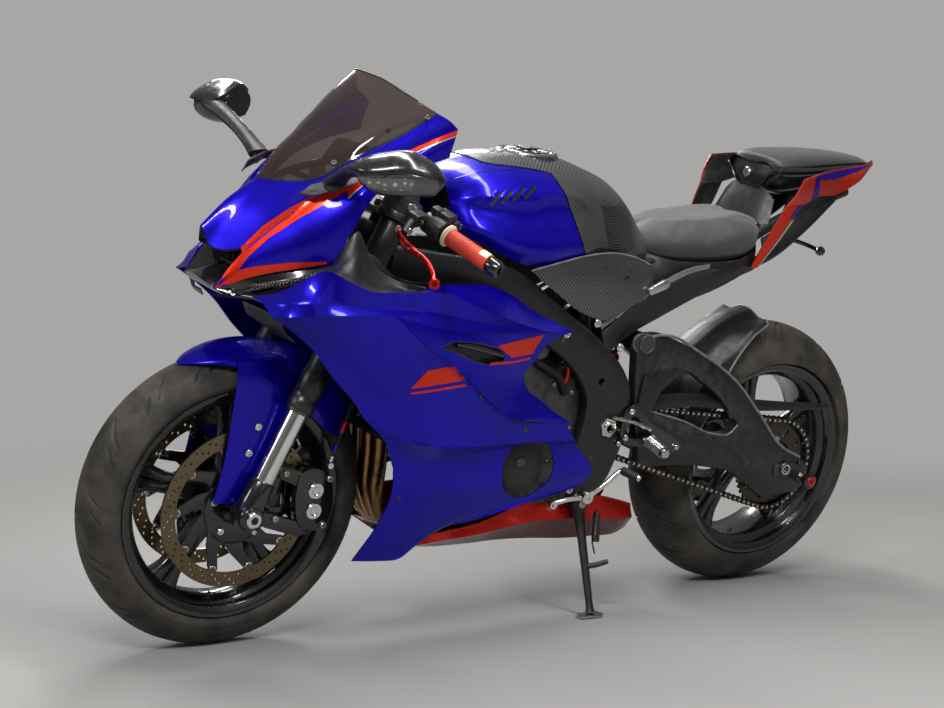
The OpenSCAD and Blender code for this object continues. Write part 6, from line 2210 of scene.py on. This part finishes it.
def footrests():
    outline = rounded([(-516, 478), (-488, 500), (-470, 494), (-440, 456), (-384, 432),
                       (-350, 410), (-344, 388), (-366, 376), (-430, 396), (-500, 404),
                       (-522, 430)], 12)
    hole = rounded([(-500, 424), (-496, 470), (-480, 470), (-446, 436), (-420, 420),
                    (-440, 414)], 8)
    guard = rounded([(-470, 560), (-440, 552), (-380, 566), (-372, 556), (-420, 520),
                     (-440, 470), (-470, 462), (-476, 500)], 10)
    knurl = [(0, 0), (10, 0), (10, 6), (12, 8)]
    for k in range(9):
        knurl += [(12, 10 + 8 * k), (13.6, 12 + 8 * k), (13.6, 15 + 8 * k),
                  (12, 17 + 8 * k)]
    knurl += [(12, 84), (9, 92), (0, 92)]
    pegs = [both(lathe(knurl, (170, -446, 417), (1, -0.27, -0.03), 20)),
            *(rod((s * 168, -446, 417), 9, 16, (0, 1, 0.2), 20) for s in (1, -1))]
    heads = [bolt((164, y, z), (1, 0, 0), r, 5)
             for y, z, r in ((-500, 482, 7), (-506, 424, 7), (-358, 394, 6))]
    rest = make("footrest_plates", both(plate(outline, 156, 164)), GLOSS,
                replaces=("footrests",), bevel=2)
    cut(rest, both(plate(hole, 140, 180)))
    make("heel_guards", both(plate(guard, 154, 157)), PLASTIC, bevel=1)
    make("footrest_pegs", join(*pegs), STEEL)
    make("footrest_bolts", both(*heads), BRIGHT)
    toe, toe_way = (198, -530, 363), (1, 0.48, -0.2)
    arms = tubes([(168, -682, 290), (174, -650, 298), (182, -600, 306),
                  (190, -556, 338), (197, -530, 362), (202, -520, 366)], 6.4, 12, 5.4,
                 5)
    levers = [ring_of(9, 4, 9, (168, -684, 289), sides=24),
              lathe([(4, -12), (13, -12), (14, -10), (14, 10), (13, 12), (4, 12)],
                    (180, -606, 304), (1, 0, 0), 24, closed=True),
              lathe([(0, 44), (6, 44), (7, 42), (7, 38), (0, 38)], toe, toe_way, 18)]
    pad = lathe([(0, 0), (8.5, 0), (9.4, 3), (9.4, 36), (8, 40), (0, 40)], toe, toe_way,
                18)
    links = tubes([(162, -546, 470), (166, -490, 458), (168, -440, 440)], 4.5, 10,
                  steps=3)
    make("shift_levers", join(arms, both(*levers)), BRIGHT, replaces=("foot_levers",))
    make("lever_rubbers", both(pad), BLACK_RUBBER)
    make("shift_rods", links, STEEL)


frame_spars()
engine()
exhaust()
swingarm()
rear_axle_parts()
chain()
chain_guard()
hugger()
footrests()


# ---- bars, levers and side stand --------------------------------------------

BAR_FLANGE = Vector((220, -1068, 874))
BAR_WAY = Vector((115, 40, -39)).normalized()


def along_bar(s, side=1):
    p = BAR_FLANGE + BAR_WAY * s
    return Vector((p.x * side, p.y, p.z))


def bars():
    way = {1: BAR_WAY, -1: Vector((-BAR_WAY.x, BAR_WAY.y, BAR_WAY.z))}
    rings, tops = [], []
    for s in (1, -1):
        rings.append(lathe([(27.3, -16), (37, -16), (38.5, -14), (38.5, 14), (37, 16),
                            (27.3, 16)], on_fork(s * FORK_X, 0, 666), steer_up, 40,
                           closed=True))
        rings.append(tube([along_bar(-112, s), along_bar(108, s)], 11, 24))
        rings.append(lathe([(0, -20), (19, -20), (20, 10), (14, 22), (0, 22)],
                           along_bar(-104, s), way[s], 24))
        tops.append(lathe([(27, 640), (27, 690), (24, 694), (20, 694), (20, 690),
                           (12, 690), (12, 697), (0, 697), (0, 640)],
                          on_fork(s * FORK_X, 0, 0), steer_up, 36))
    make("clip_on_bars", join(*rings), FRAME_BLACK, "front_end",
         replaces=("handlebars",), bevel=0.8)
    make("fork_tops", join(*tops), DARK_STEEL, "front_end")
    knobs = both(lathe([(0, 12), (7, 12), (8, 10), (9, 0), (0, 0)],
                       on_fork(FORK_X, 0, 695), steer_up, 6))
    make("fork_adjusters", knobs, BLUE_METAL, "front_end")
    ends = [lathe([(0, 107), (12, 107), (13, 109), (16.5, 110), (17, 113), (17, 128),
                   (15, 133), (9, 135), (6, 133), (6, 128), (0, 128)], along_bar(0, s),
                  way[s], 36) for s in (1, -1)]
    make("bar_ends", join(*ends), GLOSS, "front_end")
    profile = [(11.3, 4), (16, 4)]
    for k in range(16):
        a = 6 + 6.2 * k
        profile += [(16.6, a), (17.2, a + 1.2), (17.2, a + 4.4), (16.6, a + 5.6)]
    profile += [(16, 106), (11.3, 106)]
    flange = [(11.3, -3), (20, -3), (22.5, -1), (22.5, 2), (20, 4), (17.5, 6),
              (11.3, 6)]
    grip_rows, flanges = ([lathe(line, along_bar(0, s), way[s], 36, closed=True)
                           for s in (1, -1)] for line in (profile, flange))
    # A pale patch on the top of the left grip's outer end: a painted highlight.
    u = BAR_WAY.cross(Vector((0, 0, 1))).normalized()
    w = BAR_WAY.cross(u)
    grid = np.array([[along_bar(a) + (u * math.cos(b) + w * math.sin(b)) * 17.7
                      for b in np.linspace(-2.6, -0.7, 12)]
                     for a in np.linspace(84, 104, 6)])
    make("grip_rubbers", join(*grip_rows), GRIP, "front_end", replaces=("grips",))
    make("grip_flanges", join(*flanges), CREAM, "front_end")
    make("grip_painted_highlight", facing(skin(grid), -w), CREAM, "front_end", thick=0.5,
         solid=False)
    turn = (0, 17.8, 19.2)
    pods = [lathe([(11.3, -58), (19, -58), (21, -54), (21, -40), (23, -38), (23, -12),
                   (21, -9), (11.3, -9)], along_bar(0), BAR_WAY, 32, closed=True)]
    pods += [block(along_bar(s) + Vector(shift), size, turn) for s, shift, size in (
        (-32, (4, 16, 18), (34, 26, 26)), (-26, (0, 30, 4), (24, 18, 30)),
        (-36, (-2, 4, 30), (18, 18, 12)), (-62, (-4, -16, 2), (26, 30, 24)))]
    pods.append(tube([along_bar(-62) + Vector((-4, -22, 0)),
                      Vector((184, -1146, 870))], 9, 16, 8))
    make("switch_pods", both(*pods), PLASTIC, "front_end", replaces=("bar_controls",),
         bevel=4)
    buttons = [block(along_bar(-30) + Vector((8, 28, 25)), (10, 6, 9), turn),
               block(along_bar(-22) + Vector((6, 40, 8)), (8, 6, 12), turn),
               bolt(along_bar(-46) + Vector((0, -20, 2)), (0, -1, 0), 5, 3)]
    make("switch_buttons", both(*buttons), CASTING, "front_end",
         bevel=1)
    cup = [lathe([(0, 14), (15, 14), (17, 12), (17, -12), (14, -15), (0, -15)],
                 (-186, -1128, 926), (0.1, -0.15, 1), 28),
           block((-182, -1112, 908), (10, 30, 8), (-20, 0, 0))]
    make("brake_reservoir", join(*cup), GREY_PANEL, "front_end",
         bevel=1)
    lever = [(174, -1150, 876), (192, -1157, 864), (207, -1155, 855),
             (222, -1147, 846), (236, -1136, 838), (250, -1129, 829),
             (265, -1127, 817), (280, -1130, 806), (292, -1136, 802)]
    half = [11, 12.5, 12, 9.5, 8, 7, 6, 5.5, 5.5]
    path = smooth(lever, 5)
    wide = np.interp(np.linspace(0, 1, len(path)), np.linspace(0, 1, len(half)), half)
    rings = []
    for i, p in enumerate(path):
        a, b = Vector(path[max(i - 1, 0)]), Vector(path[min(i + 1, len(path) - 1)])
        along = (b - a).normalized()
        up = Vector((0.25, -0.35, 0.9))
        up = (up - along * along.dot(up)).normalized()
        over = along.cross(up)
        ring = []
        for t in [2 * math.pi * k / 12 for k in range(12)]:
            high, aside = (math.copysign(abs(v)**0.7, v)
                           for v in (math.sin(t), math.cos(t)))
            ring.append(Vector(p) + up * wide[i] * high + over * 4.6 * aside)
        rings.append(ring)
    blade = stack(rings)
    look = Vector((0.8, -0.5, 0.2))
    ball = lathe([(4.4, -5), (8, -5), (10.5, -2), (10.5, 2), (8, 5), (4.4, 5)],
                 (296, -1138, 799), look, 28, closed=True)
    piece = make("lever_blades", both(blade), RED_METAL, "front_end",
                 replaces=("hand_levers",), angle=50)
    holes = [rod(at, r, 22, look, 20) for at, r in (
        ((215, -1151, 850), 4.2), ((228, -1142, 843), 3.4), ((238, -1135, 837), 2.8))]
    cut(piece, both(*holes))
    make("lever_balls", both(ball), RED_METAL, "front_end")
    heads = [bolt(Vector((182, -1158, 878)), look, 6.5, 5),
             bolt(Vector((196, -1140, 876)), look, 6, 5),
             bolt(along_bar(-100) + Vector((16, -12, 8)), look, 6.5, 5),
             bolt(on_fork(134, -6, 668), look, 6.5, 5)]
    make("lever_bolts", both(*heads), BRIGHT, "front_end")
    clamp = [block(on_fork(0, 24, 641), (206, 42, 15), (-24, 0, 0)),
             block(on_fork(0, 30, 414), (206, 54, 29), (-24, 0, 0))]
    for s in (1, -1):
        for low, high in ((399, 430), (633, 650)):
            clamp.append(lathe([(27.3, low), (40, low), (40, high), (27.3, high)],
                               on_fork(s * FORK_X, 0, 0), steer_up, 36, closed=True))
    stem = lathe([(9.2, 398), (16, 398), (16, 650), (20, 650), (21, 654), (21, 663),
                  (18, 666), (9.2, 666)], on_fork(0, STEM_BACK, 0), steer_up, 32,
                 closed=True)
    make("fork_yokes", join(*clamp, stem), FRAME_BLACK, "front_end",
         replaces=("fork_clamps",), bevel=2.5)
    nut = lathe([(0, 672), (13, 672), (16, 668), (16, 664), (0, 664)],
                on_fork(0, STEM_BACK, 0), steer_up, 6)
    make("stem_nut", nut, STEEL, "front_end")


def side_stand():
    solid = frame["nodes"]["side_stand"]
    low = [v.co for v in solid.data.vertices if v.co.z < 0.014]
    foot = sum((Vector(c) for c in low), Vector()) / len(low)
    foot = BIKE.inverted() @ Vector((foot.x, foot.y, 0.010))
    top = Vector((112, -566, 262))
    way = (foot - top).normalized()
    rings = []
    across_way = way.cross(Vector((0, 1, 0))).normalized()
    fore = way.cross(across_way)
    for t, a, b in ((0.02, 15, 10), (0.1, 14, 9), (0.22, 11.5, 8.5), (0.5, 10, 8),
                    (0.8, 9, 7.5), (0.95, 9, 7.5), (1.0, 11, 9)):
        p = top.lerp(foot, t)
        rings.append([p + fore * a * math.cos(k) + across_way * b * math.sin(k)
                      for k in [2 * math.pi * j / 18 for j in range(18)]])
    leg = stack(rings, 4)
    eye = lathe([(8.2, -13), (17, -13), (19, -11), (19, 11), (17, 13), (8.2, 13)], top,
                (0.93, -0.2, 0.3), 32, closed=True)
    tang_at = top.lerp(foot, 0.58)
    tang = tube([tang_at + Vector(p) for p in ((0, 0, 0), (10, 26, 6), (18, 46, 14))],
                6.4, 14, 5, 4)
    make("stand_leg", join(leg, eye, tang), PLASTIC, "side_stand",
         replaces=("side_stand",), angle=50)
    up = (BIKE.to_3x3().inverted() @ Vector((0, 0, 1))).normalized()
    u = (Vector((0, 1, 0)) - up * up.y).normalized()
    w = up.cross(u)
    outline = rounded([(-34, -16), (20, -20), (30, -6), (30, 12), (18, 22), (-30, 16)],
                      8)
    pad = prism(*([tuple(foot + u * a + w * b + up * h) for a, b in outline]
                  for h in (-8.5, -2.5)))
    make("stand_foot", pad, STEEL, "side_stand", bevel=1.5)
    a, b = top + Vector((26, 34, -2)), top.lerp(foot, 0.46) + Vector((8, 24, 0))
    axis = (b - a).normalized()
    e1 = axis.orthogonal().normalized()
    e2 = axis.cross(e1)
    length = (b - a).length
    coil = [a + axis * 6]
    turns = 17
    for k in range(turns * 10 + 1):
        t = k / (turns * 10)
        q = 2 * math.pi * turns * t
        coil.append(a + axis * (14 + (length - 40) * t)
                    + (e1 * math.cos(q) + e2 * math.sin(q)) * 7.2)
    coil.append(b)
    make("stand_spring", tube(coil, 1.9, 8), DARK_STEEL, "side_stand")
    bracket = [plate(rounded([(-640, 330), (-592, 336), (-548, 300), (-540, 262),
                              (-560, 244), (-590, 250), (-640, 296)], 12), 88, 99),
               block((100, -600, 300), (26, 60, 22), (35, 0, 0))]
    make("stand_bracket", join(*bracket), FRAME_BLACK, bevel=2)
    heads = [bolt((122, y, z), (1, 0, 0), 8, 6) for y, z in ((-606, 300), (-586, 284))]
    make("stand_bolts", join(*heads), BRIGHT)
    pin = bolt(top + Vector((13, 0, 3)), (0.93, -0.2, 0.3), 9, 5)
    make("stand_pin", pin, STEEL, "side_stand")


def subframe():
    rails = [tubes([(88, -500, 700), (88, -380, 740), (90, -250, 800), (84, -120, 868),
                    (72, 20, 920), (52, 140, 950)], 13, 14, steps=5),
             tubes([(74, -480, 780), (74, -380, 796), (70, -260, 830), (66, -160, 866)],
                   11, 14, steps=5)]
    rails += [tube([(-x, y, z), (x, y, z)], 10, 14)
              for x, y, z in ((90, -150, 870), (60, 60, 930))]
    make("seat_rails", join(*rails), FRAME_BLACK, replaces=("subframe",))


bars()
side_stand()
subframe()
